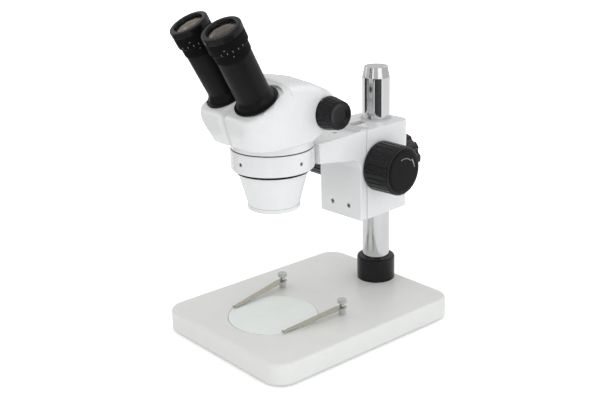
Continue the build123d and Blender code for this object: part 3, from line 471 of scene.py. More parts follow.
def build_grain_group():
    """Shared fine grain: a slow and a fast noise in object space, put out as a value and as a normal."""
    group = bpy.data.node_groups.new("Surface Grain", "ShaderNodeTree")
    for name, value in (("Fine Scale", 900.0), ("Depth", 0.05)):
        socket = group.interface.new_socket(name, in_out="INPUT", socket_type="NodeSocketFloat")
        socket.default_value = value
    for name, kind in (("Cloud", "Float"), ("Grain", "Float"), ("Normal", "Vector")):
        group.interface.new_socket(name, in_out="OUTPUT", socket_type="NodeSocket" + kind)
    entry = add_node(group, "NodeGroupInput")
    leave = add_node(group, "NodeGroupOutput")
    place = add_node(group, "ShaderNodeTexCoord")
    slow = add_node(group, "ShaderNodeTexNoise")
    slow.inputs["Scale"].default_value = 38.0
    slow.inputs["Detail"].default_value = 3.0
    fast = add_node(group, "ShaderNodeTexNoise")
    fast.inputs["Detail"].default_value = 2.0
    bump = add_node(group, "ShaderNodeBump")
    bump.inputs["Distance"].default_value = 0.0002
    link = group.links.new
    link(place.outputs["Object"], slow.inputs["Vector"])
    link(place.outputs["Object"], fast.inputs["Vector"])
    link(entry.outputs["Fine Scale"], fast.inputs["Scale"])
    link(entry.outputs["Depth"], bump.inputs["Strength"])
    link(fast.outputs["Fac"], bump.inputs["Height"])
    link(slow.outputs["Fac"], leave.inputs["Cloud"])
    link(fast.outputs["Fac"], leave.inputs["Grain"])
    link(bump.outputs["Normal"], leave.inputs["Normal"])
    return group


def spread(tree, source, middle, reach):
    """A noise value of about 0.3 to 0.7 spread evenly about a middle value."""
    wide = add_node(tree, "ShaderNodeMapRange")
    wide.inputs["From Min"].default_value = 0.3
    wide.inputs["From Max"].default_value = 0.7
    wide.inputs["To Min"].default_value = middle - reach
    wide.inputs["To Max"].default_value = middle + reach
    tree.links.new(source, wide.inputs["Value"])
    return wide.outputs["Result"]


def build_material(group, name, colour, roughness, scale, depth, tone=0.03, rough_reach=0.05, **shader):
    """Finish with slow changes of tone, small changes of roughness and a fine bump."""
    material = bpy.data.materials.new(name)
    material.use_nodes = True
    tree = material.node_tree
    principled = tree.nodes["Principled BSDF"]
    grain = add_node(tree, "ShaderNodeGroup", node_tree=group)
    grain.inputs["Fine Scale"].default_value = scale
    grain.inputs["Depth"].default_value = depth
    mix = add_node(tree, "ShaderNodeMix", data_type="RGBA")
    mix.inputs[6].default_value = tuple(c * (1 - tone) for c in colour) + (1.0,)
    mix.inputs[7].default_value = tuple(min(1.0, c * (1 + tone)) for c in colour) + (1.0,)
    tree.links.new(spread(tree, grain.outputs["Cloud"], 0.5, 0.5), mix.inputs[0])
    tree.links.new(mix.outputs[2], principled.inputs["Base Color"])
    uneven = spread(tree, grain.outputs["Grain"], roughness, rough_reach)
    tree.links.new(uneven, principled.inputs["Roughness"])
    tree.links.new(grain.outputs["Normal"], principled.inputs["Normal"])
    for key, value in shader.items():
        principled.inputs[key.replace("_", " ")].default_value = value
    return material


def build_materials(finish):
    """Every finish of the microscope: its colour, roughness, the grain's scale and depth, how far tone
    and roughness change, and what else the shader needs."""
    make = partial(build_material, build_grain_group())
    make("White paint", finish.white, 0.27, 1400.0, 0.05, 0.012, 0.05, Coat_Weight=0.35, Coat_Roughness=0.12)
    make("Base paint", finish.base, 0.42, 1900.0, 0.08, 0.015, 0.07, Coat_Weight=0.5, Coat_Roughness=0.14)
    make("Frosted plate", finish.plate, 0.55, 2600.0, 0.10, 0.02, 0.08)
    make("Chrome", finish.chrome, 0.085, 500.0, 0.015, 0.02, 0.02, Metallic=1.0)
    make("Steel", finish.steel, 0.30, 1500.0, 0.08, 0.05, 0.10, Metallic=1.0)
    make("Dark steel", [0.5 * c for c in finish.steel], 0.35, 1500.0, 0.08, 0.05, 0.10, Metallic=1.0)
    make("Spring steel", finish.spring, 0.26, 1800.0, 0.06, 0.04, 0.08, Metallic=1.0)
    make("Bronze", finish.bronze, 0.35, 1500.0, 0.10, 0.06, 0.10, Metallic=1.0)
    make("Black paint", finish.black, 0.36, 2200.0, 0.08, 0.10, 0.06, Specular_IOR_Level=0.15)
    make("Black plastic", finish.plastic, 0.24, 1700.0, 0.08, 0.08, 0.06, Specular_IOR_Level=0.25)
    make("Matt black", finish.plastic, 0.62, 2400.0, 0.14, 0.10, 0.08, Specular_IOR_Level=0.15)
    make("Rubber", finish.rubber, 0.26, 1300.0, 0.06, 0.10, 0.05, Specular_IOR_Level=0.25)
    make("Soft rubber", finish.rubber, 0.5, 1600.0, 0.16, 0.10, 0.10, Specular_IOR_Level=0.05)
    make("White marks", finish.marks, 0.5, 2600.0, 0.05, 0.03, 0.06)
    make("Lens glass", finish.glass, 0.05, 300.0, 0.002, 0.02, 0.01, Transmission_Weight=1.0, IOR=1.52,
         Coat_Weight=0.4, Coat_Tint=(1.0, 0.88, 0.74, 1.0))
    make("Nylon", [0.8 * c for c in finish.white], 0.5, 1500.0, 0.06, 0.02, 0.05)


# The finish of a carried over piece by its material slot, and of a few pieces by their own names
SLOT_MATERIAL = {
    "base_paint": "Base paint", "white_paint": "White paint", "head_paint": "White paint",
    "frosted_white": "Frosted plate", "chrome": "Chrome", "steel": "Steel", "spring_steel": "Spring steel",
    "bronze": "Bronze", "black_paint": "Black paint", "black_plastic": "Black plastic", "rubber": "Rubber",
    "lens_glass": "Lens glass",
}
OWN_MATERIAL = {
    "ring_screws": "Dark steel", "collar_screw": "Dark steel", "arm_screw": "Dark steel",
    "pillar_bush": "Nylon",
}


# The parts

class MicroscopePart:
    """Runs a part's builder, which raises if it can't finish."""
    bl_options = {"REGISTER", "UNDO"}

    def execute(self, context):
        self.make(context.scene)
        return {"FINISHED"}


class MICROSCOPE_OT_materials(MicroscopePart, Operator):
    """Makes the finishes and gives them to the carried over pieces"""
    bl_idname = "microscope.materials"
    bl_label = "Materials"

    def make(self, scene):
        build_materials(scene.microscope_finish)
        slots = {part["node"]: part["material_slot"] for part in frame["record"]["subparts"]}
        for name, piece in frame["nodes"].items():
            piece.data.materials.clear()
            finish = OWN_MATERIAL.get(name, SLOT_MATERIAL[slots[name]])
            piece.data.materials.append(bpy.data.materials[finish])


CELL_COUNT = (6, 8)         # cells between the ribs under the base, across and from front to back
CELL_PITCH = (32, 31)
RIB = 4                     # thickness of a rib


def plate_circle():
    """Frame below the middle of the stage plate, and the plate's radius."""
    middle = centre("stage_plate")
    return at(STAND, middle[0], middle[1], 0), (high("stage_plate")[0] - low("stage_plate")[0]) / 2


def foot_places():
    """Upright frames through the four rubber feet."""
    lowest, highest = low("rubber_feet") + FOOT_RADIUS, high("rubber_feet") - FOOT_RADIUS
    return [at(STAND, x, y, 0) for x in (lowest[0], highest[0]) for y in (lowest[1], highest[1])]


def base_mesh():
    """Base: a rounded slab with a round recess for the stage plate and ribs underneath."""
    lowest, highest = low("base_plate"), high("base_plate")
    body = slab("base_body", box_corners(lowest[0], highest[0], lowest[1], highest[1], 22.5), lowest[2],
                highest[2], STAND, edge=3.0, low_edge=0.9)
    place, radius = plate_circle()
    radius += 0.45
    floor, top = low("stage_plate")[2], highest[2]
    recess = turned("recess", [(0, floor), (radius, floor), (radius, top - 0.3), (radius + 0.5, top + 0.2),
                               (radius + 0.5, top + 4), (0, top + 4)], place, 192)
    return combined(body, [recess] + underside_cutters(lowest, highest))


def underside_cutters(lowest, highest):
    """Cells between the ribs under the base, less the bosses, and the holes for the feet and the bolt."""
    middle = (lowest + highest) / 2
    half = (np.array(CELL_PITCH) - RIB) / 2
    along = [(np.arange(count) - (count - 1) / 2) * pitch for count, pitch in zip(CELL_COUNT, CELL_PITCH)]
    cells = [slab("cell", box_corners(x - half[0], x + half[0], y - half[1], y + half[1], 2.0),
                  lowest[2] - 3, highest[2] - 9, STAND, edge=0.8, low_edge=0.2)
             for x in middle[0] + along[0] for y in middle[1] + along[1]]
    bolt_low, bolt_high = low("pillar_bolt"), high("pillar_bolt")
    bolt = (bolt_low + bolt_high) / 2
    bolt_place = at(STAND, bolt[0], bolt[1], 0)
    bolt_head = (bolt_high[0] - bolt_low[0]) / 2 + 0.3
    bosses = [rod("boss", 11, 0, 30, place, 48) for place in foot_places()]
    bosses.append(rod("boss", 16, 0, 30, bolt_place, 64))
    holes = [rod("hole", 3.05, 0, 8.8, place, 32) for place in foot_places()]
    holes.append(rod("hole", bolt_head, 0, bolt_low[2] + 8, bolt_place, 48))
    return [combined(joined("cells", cells), [joined("bosses", bosses)])] + holes


def foot_mesh(place):
    """Foot of soft rubber, a little hollow below, with a plug into the base."""
    return turned("foot", [(0, 0.8), (5.6, 0.8, 0.3), (6.2, 0, 0.2), (8.4, 0, 0.5), (FOOT_RADIUS, 2.5, 0.2),
                           (3.0, 2.5, 0.3), (3.0, 8.5, 0.5), (0, 8.5)], place, 64)


class MICROSCOPE_OT_base(MicroscopePart, Operator):
    """Makes the base, its feet and the stage plate"""
    bl_idname = "microscope.base"
    bl_label = "Base"

    def make(self, scene):
        add_piece("base_body", base_mesh(), "base", "Base paint", ["base_plate"], weighted=True)
        place, radius = plate_circle()
        bottom, top = low("stage_plate")[2], high("stage_plate")[2]
        disc = turned("disc", [(0, bottom), (radius, bottom, 0.3), (radius, top, 0.35), (0, top)], place, 224)
        add_piece("stage_disc", disc, "base", "Frosted plate", ["stage_plate"])
        feet = [foot_mesh(place) for place in foot_places()]
        add_piece("feet", joined("feet", feet), "base", "Soft rubber", ["rubber_feet"])


class MICROSCOPE_OT_pillar(MicroscopePart, Operator):
    """Makes the plated pillar and the black collar round its foot"""
    bl_idname = "microscope.pillar"
    bl_label = "Pillar"

    def make(self, scene):
        bottom, top = low("pillar")[2], high("pillar")[2]
        foot, collar_top = low("pillar_collar")[2], high("pillar_collar")[2]
        post = turned("pillar_post", [(0, bottom), (10, bottom, 0.4), (10, foot), (PILLAR_RADIUS, foot),
                                      (PILLAR_RADIUS, top - 12.8, 4.0), (13.3, top, 1.0), (0, top)],
                      PILLAR, 160)
        add_piece("pillar_post", post, "base", "Chrome", ["pillar"])
        inner = PILLAR_RADIUS + 0.05
        collar = turned("collar", [(inner, foot), (22.5, foot, 0.4), (22.5, collar_top, 3.0),
                                   (16.6, collar_top, 0.3), (inner, collar_top - 0.6)],
                        PILLAR, 144, ring=True)
        hole = turned("hole", [(0, 15), (2.6, 15), (2.6, 22.0), (3.1, 22.8), (3.1, 25), (0, 25)],
                      facing(at(PILLAR, 0, 0, (foot + collar_top) / 2), (0, 1, 0)), 40)
        add_piece("collar", combined(collar, [hole]), "base", "Black plastic",
                  ["pillar_collar"], weighted=True)


def clip_mesh(name, matrix):
    """Springy strip: a thin rounded section carried along the clip's side view, from the round eye
    to the turned up tip, while its half width narrows."""
    points = 200
    wide, narrow = 5.3, 2.6
    corners = [(CLIP_EYE, 8.5), (-5.5, 8.5, 14.0), (9.0 - CLIP_REACH, 2.1, 5.0), (4.0 - CLIP_REACH, 1.1, 3.0),
               (-CLIP_REACH, 2.9)]
    line = rounded_line(corners, support=0.5, per_turn=220)
    run = np.concatenate([[0], np.cumsum(np.linalg.norm(np.diff(line, axis=0), axis=1))])
    steps = run[-1] * (1 - np.cos(np.linspace(0, math.pi, points))) / 2
    along = np.interp(steps, run, line[:, 0])
    path = np.stack([np.zeros(points), along, np.interp(steps, run, line[:, 1])], 1)
    half = wide + (wide - narrow) * np.clip(along / CLIP_REACH, -1, 0)
    eye = np.sqrt(np.clip(CLIP_EYE ** 2 - along ** 2, 0, None))
    half = np.where(along > -3.5, eye, np.maximum(half, eye))
    tip = np.clip((1.6 - CLIP_REACH - along) / 1.65, 0, 0.98)
    half = np.maximum(half * np.sqrt(1 - tip ** 2), 0.3)
    outline = rounded_line(box_corners(-1, 1, -0.5, 0.5, 0.22), closed=True, support=0.1, per_turn=20)
    section = np.broadcast_to(outline, (len(path),) + outline.shape).copy()
    edge = 1 - np.abs(section[:, :, 0])
    section[:, :, 0] = np.sign(section[:, :, 0]) * np.maximum(half[:, None] - edge, 0.02)
    strip = swept(name, move(path, matrix), section, matrix[:3, 0])
    return combined(strip, [rod("bore", 1.6, 5, 12, matrix, 32)])


def between(height, start, end, rise=0.3, fall=0.3):
    """1 between two heights, running out to 0 just inside them."""
    return np.clip((height - start) / rise, 0, 1) * np.clip((end - height) / fall, 0, 1)


def grooved(count, start, end, inner):
    """Depth of fine upright grooves between two heights, outside an inner radius."""
    def measure(angle, height, radius):
        return 0.22 * between(height, start, end) * (radius > inner) * (0.5 + 0.5 * np.cos(angle * count))
    return measure


class MICROSCOPE_OT_clips(MicroscopePart, Operator):
    """Makes the two stage clips with their posts and knurled knobs"""
    bl_idname = "microscope.clips"
    bl_label = "Stage clips"

    def make(self, scene):
        posts, knobs = [], []
        for side, lean in (("left", 5.9), ("right", -5.9)):
            point = joint_point("clip_turn_" + side)
            turn = math.radians(lean)
            place = placed((point[0], point[1], point[2] - 8.0), (math.cos(turn), math.sin(turn), 0),
                           (0, 0, 1))
            add_piece("clip_" + side, clip_mesh("clip", place), "clip_" + side,
                      "Spring steel", ["clip_arm_" + side], weighted=True)
            posts.append(turned("post", [(0, -6.5), (1.5, -6.5, 0.2), (1.5, 0), (4.0, 0, 0.2),
                                         (4.0, 8.0, 0.4), (1.5, 8.0), (1.5, 14.0, 0.3), (0, 14.0)],
                                place, 56))
            knobs.append(turned("knob", [(1.56, 9.1), (3.0, 9.1, 0.3), (3.0, 13.4, 0.9), (5.5, 14.2, 0.4),
                                         (5.5, 18.1, 0.6), (0.4, 18.1, 0.2), (0.4, 14.3), (1.56, 14.3)],
                                place, 160, ring=True, depth=grooved(32, 14.4, 17.6, 5)))
        add_piece("posts", joined("posts", posts), "base", "Chrome", ["clip_posts"])
        add_piece("post_knobs", joined("post_knobs", knobs), "base", "Chrome", ["clip_knobs"])


def block_mesh():
    """Focus block: a rounded upright prism, bored for the pillar and grooved for the dovetail."""
    bottom, top = low("block_housing")[2], high("block_housing")[2]
    front = -49.0
    body = slab("block", [(-BLOCK_HALF, front, 1.2), (BLOCK_HALF, front, 1.2), (BLOCK_HALF, BLOCK_BACK, 12.0),
                          (-BLOCK_HALF, BLOCK_BACK, 12.0)], bottom, top, BLOCK, edge=0.9)
    bore = rod("bore", 17.3, bottom - 2, top + 2, BLOCK, 128)
    narrow, wide, mouth, floor = 21.1, 26.1, -49.6, -39.9       # dovetail
    groove = slab("groove", [(-narrow, front - 3), (narrow, front - 3), (narrow, mouth), (wide, floor),
                             (-wide, floor), (-narrow, mouth)], bottom - 2, top + 2, BLOCK, edge=0.1)
    channel = slab("channel", box_corners(-6, 6, -42, -20), bottom - 2, top + 2, BLOCK, edge=0.1)
    return combined(body, [bore, groove, channel])


class MICROSCOPE_OT_block(MicroscopePart, Operator):
    """Makes the focus block"""
    bl_idname = "microscope.block"
    bl_label = "Focus block"

    def make(self, scene):
        add_piece("block", block_mesh(), "focus_block", "White paint", ["block_housing"],
                  weighted=True)


def fluted(count, depth, start, end, inner):
    """Depth of round flutes between two heights, running out smoothly at both, outside an inner radius."""
    def measure(angle, height, radius):
        wave = np.abs(np.sin(angle * count / 2))
        hollow = np.sqrt(np.clip(1 - (wave / 0.62) ** 2, 0, 1))
        return depth * hollow * np.sqrt(between(height, start, end, 1.2, 0.8)) * (radius > inner)
    return measure


def with_steps(line, start, end, inner, steps):
    """Line of (radius, height) whose long outer run between two heights is divided into steps."""
    outer = (line[:, 0] > inner) & (line[:, 1] > start) & (line[:, 1] < end)
    here = np.flatnonzero(outer)
    if len(here) < 2:
        raise RuntimeError("no outer run to divide")
    a, b = line[here[0]], line[here[-1]]
    share = np.linspace(0, 1, steps)[:, None]
    return np.concatenate([line[:here[0]], a + (b - a) * share, line[here[-1] + 1:]])


def knob_place(side, joint, matrix):
    """Frame with its origin in the middle plane and Z pointing out of the right or left side."""
    point = np.linalg.inv(matrix) @ np.append(joint_point(joint), 1.0)
    return facing(at(matrix, 0, point[1], point[2]), (1 if side == "right" else -1, 0, 0))


class MICROSCOPE_OT_focus_knobs(MicroscopePart, Operator):
    """Makes the two fluted focus knobs with their end caps and printed arcs"""
    bl_idname = "microscope.focus_knobs"
    bl_label = "Focus knobs"

    def make(self, scene):
        knobs = scene.microscope_knobs
        flutes = fluted(knobs.focus_flutes, knobs.focus_depth / MM, 37.0, 65.6, 24.5)
        start, web, rim = 33.3, 37.2, 66.7
        profile = [(4.1, start), (10, start, 0.3), (10, web, 0.6), (23.6, web, 0.6), (23.6, start, 0.3),
                   (28.6, start, 0.8), (28.6, 36.6, 0.2), (28.5, web, 0.2), (27.9, 65.0, 0.4),
                   (26.4, rim, 0.5), (24.3, rim, 0.2), (24.3, CAP_SEAT), (4.1, CAP_SEAT)]
        line = with_steps(rounded_line(profile, closed=True, support=0.3), 37.3, 64.9, 26, 28)
        cap = [(0, CAP_SEAT), (24.0, CAP_SEAT), (24.0, 67.2, 0.3), (21.8, CAP_FACE, 0.4), (0, CAP_FACE)]
        for side, sign in (("right", 1), ("left", -1)):
            place = knob_place(side, "focus_turn", BLOCK)
            body = grid_mesh("grip", round_grid(line, knobs.focus_flutes * 16, place, flutes), ring=True)
            add_piece("focus_grip_" + side, body, "focus_drive", "Black plastic",
                      ["focus_knob_" + side])
            add_piece("focus_end_" + side, turned("end", cap, place, 160), "focus_drive",
                      "Matt black", ["focus_cap_" + side])
            add_piece("focus_marks_" + side, self.marks(place, sign), "focus_drive",
                      "White marks")

    def marks(self, place, sign):
        """Tapered arc and a row of nine dashes on a cap."""
        arcs = [arc_mark("arc", place, sign * math.radians(-46), sign * math.radians(-84), 16.6, (1.9, 0.7),
                         CAP_FACE)]
        for step in range(9):
            start = sign * math.radians(22 - 7.5 * step)
            end = start - sign * math.radians(4.6)
            arcs.append(arc_mark("dash", place, start, end, 14.6, (1.1, 1.1), CAP_FACE))
        return joined("arcs", arcs)


class MICROSCOPE_OT_clamp_knob(MicroscopePart, Operator):
    """Makes the scalloped clamp knob behind the block"""
    bl_idname = "microscope.clamp_knob"
    bl_label = "Clamp knob"

    def make(self, scene):
        lobes = scene.microscope_knobs.clamp_lobes
        point = np.linalg.inv(BLOCK) @ np.append(joint_point("clamp_turn"), 1.0)
        place = facing(at(BLOCK, 0, BLOCK_BACK, point[2]), (0, 1, 0))
        neck, start, end = 14, 7, 27

        def scallops(angle, height, radius):
            wave = np.abs(np.sin(angle * lobes / 2))
            hollow = np.sqrt(np.clip(1 - (wave / 0.72) ** 2, 0, 1))
            rise = np.clip((height - start - 0.05) / 0.4, 0, 1)
            return 2.5 * hollow * rise * np.clip((radius - 18.0) / 6.0, 0, 1)

        line = rounded_line([(0, 0.3), (neck, 0.3, 0.4), (neck, start, 1.0), (27.6, start, 1.6),
                             (27.0, end, 3.4), (15, end, 1.2), (12.5, 25.5, 0.8), (0, 25.5)],
                            support=0.4, per_turn=70)[1:-1]
        knob = grid_mesh("clamp_grip", round_grid(line, lobes * 30, place, scallops))
        bore = rod("bore", 5.1, -1, 17, place, 48)
        add_piece("clamp_grip", combined(knob, [bore]), "clamp", "Black plastic",
                  ["clamp_knob"], sharp=40.0)


def plate_screw_places():
    """Frames in the plate's front face at its two screws, with Z pointing into it."""
    height = low("carriage_arm")[2] + PLATE_SCREW_RISE
    return [facing(at(BLOCK, x, PLATE_FRONT, height), (0, 1, 0)) for x in PLATE_SCREWS]


def carriage_mesh():
    """Plate and arm as one rounded slab of their side view, joined with the ring;
    the pocket in the arm, the ring's bore and the screw holes are cut."""
    bottom, top = low("carriage_arm")[2], high("carriage_arm")[2]
    ring_low = top - RING_HEIGHT
    back, front = -49.8, -125.0
    corners = [(back, bottom, 1.6), (back, top, 1.6), (front, top), (front, ring_low + 0.3),
               (PLATE_FRONT, top - 31.6, 13.0), (PLATE_FRONT, bottom, 1.6)]
    half = BLOCK_HALF - 0.1
    side = slab("side", corners, -half, half, facing(BLOCK, (1, 0, 0), (0, 1, 0)), edge=1.2)
    ring = turned("ring", [(0, ring_low), (44.3, ring_low, 2.5), (44.3, top, 0.9), (0, top)], RING, 192)
    body = combined(side, [ring], "UNION")
    pocket = slab("pocket", [(-27, -52.8, 3.0), (27, -52.8, 3.0), (27, -117, 3.0), (-27, -117, 3.0)],
                  top - 4, top + 3, BLOCK, edge=0.1, low_edge=1.0)
    keep = rod("keep", 45.8, top - 8, top + 5, RING, 192)
    cutters = [combined(pocket, [keep]), rod("bore", 39.7, ring_low - 24, top + 3, RING, 192)]
    for place in plate_screw_places():
        cutters.append(turned("hole", [(0, -3), (3.0, -3), (3.0, -0.1), (2.7, 0.3), (2.7, 4.6), (0, 4.6)],
                              place, 40))
    cutters.append(turned("hole", [(0, top - 9), (2.6, top - 9), (2.6, top - 4.4), (3.0, top - 3.9),
                                   (3.0, top), (0, top)], at(BLOCK, 0, -68.0, 0), 32))
    for turn in (0, -90, 180):
        angle = math.radians(turn)
        place = facing(at(RING, 0, 0, ring_low + RING_HEIGHT / 2), (math.cos(angle), math.sin(angle), 0))
        cutters.append(turned("hole", [(0, 38), (2.06, 38), (2.06, 43.9), (2.5, 44.5), (2.5, 47), (0, 47)],
                              place, 32))
    return combined(body, cutters)


class MICROSCOPE_OT_carriage(MicroscopePart, Operator):
    """Makes the casting of plate, arm and ring, the plate's screws and the black line in the ring"""
    bl_idname = "microscope.carriage"
    bl_label = "Carriage"

    def make(self, scene):
        add_piece("arm_casting", carriage_mesh(), "carriage", "White paint", ["carriage_arm"],
                  sharp=28.0, weighted=True)
        bolts = [turned("bolt", [(0, 2.4), (1.3, 2.4), (1.3, 0.9), (2.55, 0.9, 0.25), (2.55, 4.55),
                                 (0, 4.55)], place, 36) for place in plate_screw_places()]
        add_piece("plate_bolts", joined("plate_bolts", bolts), "carriage", "Dark steel",
                  ["plate_screws"])
        line_low, line_top = low("ring_liner")[2], high("ring_liner")[2]
        top = high("carriage_arm")[2]
        inner = 38.05
        sleeve = turned("sleeve", [(inner, line_low), (39.65, line_low, 0.3), (39.65, top), (43.3, top, 0.1),
                                   (43.3, line_top, 0.2), (inner, line_top)], RING, 192, ring=True)
        add_piece("ring_sleeve", sleeve, "carriage", "Black plastic", ["ring_liner"])


def ease(value, start, end):
    """0 before start, 1 after end, smooth between."""
    share = np.clip((value - start) / (end - start), 0, 1)
    return share * share * (3 - 2 * share)


def face(points, base, normal):
    """Flat face as (distance, outward direction) at every point."""
    normal = unit(normal)
    return (points - np.array(base, float)) @ normal, np.broadcast_to(normal, points.shape)


def curved(distance, direction):
    """Face given by a rough distance and the gradient of it: (distance, outward direction)."""
    length = np.linalg.norm(direction, axis=-1)
    return distance / length, direction / length[..., None]


def meet(first, second, radius):
    """What lies inside both faces, with a fillet of the radius between them at whatever angle they meet."""
    a, a_way = first
    b, b_way = second
    cosine = np.clip((a_way * b_way).sum(-1), -0.999, 0.999)
    p = a + radius
    q = b + radius
    p_share = (p - q * cosine) / (1 - cosine ** 2)
    q_share = (q - p * cosine) / (1 - cosine ** 2)
    out = p_share[..., None] * a_way + q_share[..., None] * b_way
    length = np.linalg.norm(out, axis=-1)
    round_part = (p_share > 0) & (q_share > 0)
    way = np.where((a > b)[..., None], a_way, b_way)
    way = np.where(round_part[..., None], out / np.maximum(length, 1e-9)[..., None], way)
    return np.where(round_part, length - radius, np.maximum(a, b)), way


def shell_distance(points, head, foot_height):
    """Signed distance of the right half of the casing, from faces that meet in fillets:
    leaning front, side in three flats, back, slope for the tubes, top, underside and seam."""
    x, y, t = points[..., 0], points[..., 1], points[..., 2] - foot_height
    zero = np.zeros_like(x)
    one = np.ones_like(x)
    below = np.clip((34.5 - t) / 34.5, 0, 1)
    bend = 34.5         # height below which the front draws in
    below = np.clip((bend - t) / bend, 0, 1)
    foot = head.foot / MM
    front = curved(-y - head.front / MM + foot * below ** 1.6,
                   np.stack([zero, -one, -foot * 1.6 * below ** 0.6 / bend], -1))
    waist = 26          # height at which the side stands out furthest
    reach = np.where(t < waist, waist, 44)
    bulge = (t - waist) / reach
    side = curved(x - head.half_width / MM + 3.5 * bulge ** 2, np.stack([one, zero, 7.0 * bulge / reach], -1))
    side = meet(side, face(points, (50.8, 2, 0), (39.0, 9.5, 0)), 20)
    side = meet(side, face(points, (42.3, 41, 0), (40.5, 4.5, 0)), 20)
    wall = meet(front, side, head.corner / MM + 10 * ease(-t, -waist, 0))
    wall = meet(wall, face(points, (0, 81.5, 0), (0, 1, 0.08)), 14)
    crest = (0, 24, foot_height + 62.4)
    roof = face(points, (24.24, -36.44, foot_height + 48.3), (0.039, -0.512, 0.859))
    roof = meet(roof, face(points, crest, (2.4, 3.6, 29.6)), head.ridge / MM)
    roof = meet(roof, face(points, crest, (2.4, 19.9, 42.0)), 40)
    roof = meet(roof, face(points, (0, 66, foot_height + 42.5), (0.8, 8.5, 16.0)), 18)
    upper_edge = 5 + (head.edge / MM - 5) * ease(y, -60, -30)
    whole = meet(wall, roof, upper_edge)
    floor = face(points, (0, 0, foot_height), (0, 0, -1))
    floor = meet(floor, face(points, (0, 24, foot_height), (0, 9, -21)), 6)
    floor = meet(floor, face(points, (0, 45, foot_height + 9), (0, 12.5, -35.5)), 12)
    whole = meet(whole, floor, 2.5 + 2 * ease(y, 10, 40))
    valley = 0.5 + (head.valley / MM - 0.5) * ease(-y, 40, 58)
    return meet(whole, face(points, (head.seam / MM, 0, 0), (-1, 0, 0)), valley)[0]


def shell_cutters():
    """Recess and stub hole for the tube over its whole swing, spot face and bore for the zoom drive."""
    inverse = np.linalg.inv(HEAD)
    tube = inverse @ tube_frame("right")
    pivot = inverse @ np.append(joint_point("pupil_right"), 1.0)
    floor, lip = 24.1, 24.5
    cutters = []
    for angle in np.radians([0.0, 3.65, 7.3]):
        spin = np.eye(4)
        spin[:2, :2] = [[math.cos(angle), -math.sin(angle)], [math.sin(angle), math.cos(angle)]]
        spin[:2, 3] = pivot[:2] - spin[:2, :2] @ pivot[:2]
        place = HEAD @ spin @ tube
        cutters.append(turned("recess", [(0, -1.8), (floor, -1.8), (floor, -0.3), (lip, 0.2), (lip, 30),
                                         (0, 30)], place, 160))
        cutters.append(rod("stub", 15.8, -30, -1.6, place, 96))
    point = inverse @ np.append(joint_point("zoom_turn"), 1.0)
    axle = facing(at(HEAD, 0, point[1], point[2]), (1, 0, 0))
    seat = ZOOM_SEAT - 0.9
    cutters.append(turned("spot", [(0, seat), (18.5, seat), (18.5, 47), (19.3, 58), (20.5, 70), (0, 70)],
                          axle, 160))
    cutters.append(rod("axle", 5.1, -1, 44, axle, 48))
    return cutters


def shell_mesh(head):
    """Right shell: along every direction from a middle point, the distance to the surface is found by
    halving, for the whole grid of directions at once."""
    foot_height = low("head_shell_right")[2]
    middle = np.array([22.0, 2.0, foot_height + 31.0])
    tilt = np.linspace(0, math.pi, head.rows + 2)[1:-1, None]
    turn = np.linspace(0, TURN, head.columns, endpoint=False)[None]
    way = np.stack([np.cos(tilt) * np.ones_like(turn), np.sin(tilt) * np.cos(turn),
                    np.sin(tilt) * np.sin(turn)], -1)
    near = np.zeros(way.shape[:2])
    far = np.full(way.shape[:2], 150.0)
    for _ in range(24):
        halfway = (near + far) / 2
        outside = shell_distance(middle + way * halfway[..., None], head, foot_height) > 0
        far = np.where(outside, halfway, far)
        near = np.where(outside, near, halfway)
    grid = middle + way * ((near + far) / 2)[..., None]
    return combined(grid_mesh("shell", move(grid, HEAD)), shell_cutters())


class MICROSCOPE_OT_head(MicroscopePart, Operator):
    """Makes the two shells of the head and its flange"""
    bl_idname = "microscope.head"
    bl_label = "Head"

    def make(self, scene):
        right = shell_mesh(scene.microscope_head)
        left = mirrored("shell_left", right, HEAD)
        add_piece("shell_right", right, "head", "White paint", ["head_shell_right"])
        add_piece("shell_left", left, "head", "White paint", ["head_shell_left"])
        top, bottom = low("head_shell_right")[2] - 0.05, low("head_base")[2]
        flange = high("ring_liner")[2] + 0.06
        inner, outer, rim = 31.5, 37.95, 43.5
        neck = turned("neck", [(inner, bottom), (outer, bottom, 0.3), (outer, flange), (rim, flange, 0.7),
                               (rim, top, 1.1), (inner, top)], RING, 192, ring=True)
        add_piece("neck", neck, "head", "White paint", ["head_base"])


class MICROSCOPE_OT_nose(MicroscopePart, Operator):
    """Makes the cone under the ring with its lip, and the front lenses"""
    bl_idname = "microscope.nose"
    bl_label = "Nose"

    def make(self, scene):
        top, bottom = high("nose_cone")[2], low("nose_cone")[2]
        rim = top - 6.0
        cone = turned("cone", [(28.85, top), (31.45, top, 0.3), (31.45, rim), (37.9, rim, 0.6),
                               (27.7, bottom, 0.3), (25.1, bottom), (25.1, bottom + 6), (28.85, rim)],
                      RING, 176, ring=True)
        add_piece("cone", cone, "head", "White paint", ["nose_cone"])
        lip_low, inner = low("nose_ring")[2], 23.05
        lip = turned("lip", [(inner, lip_low + 0.8), (27.4, lip_low, 0.3), (28.3, lip_low + 0.9, 0.4),
                             (28.3, bottom - 0.05, 0.5), (25.05, bottom - 0.05), (25.05, bottom + 5),
                             (inner, bottom + 5)], RING, 176, ring=True)
        add_piece("nose_lip", lip, "head", "White paint", ["nose_ring"])
        glass = low("objective_lenses")[2]
        lenses = [turned("lens", [(0, glass), (4.5, glass + 0.16), (8.2, glass + 0.75),
                                  (9.4, glass + 0.95, 0.2), (9.4, glass + 4.9, 0.2), (0, glass + 4.9)],
                         at(HEAD, x, 0, 0), 72)
                  for x in (-11.5, 11.5)]
        add_piece("front_lenses", joined("front_lenses", lenses), "head", "Lens glass",
                  ["objective_lenses"])


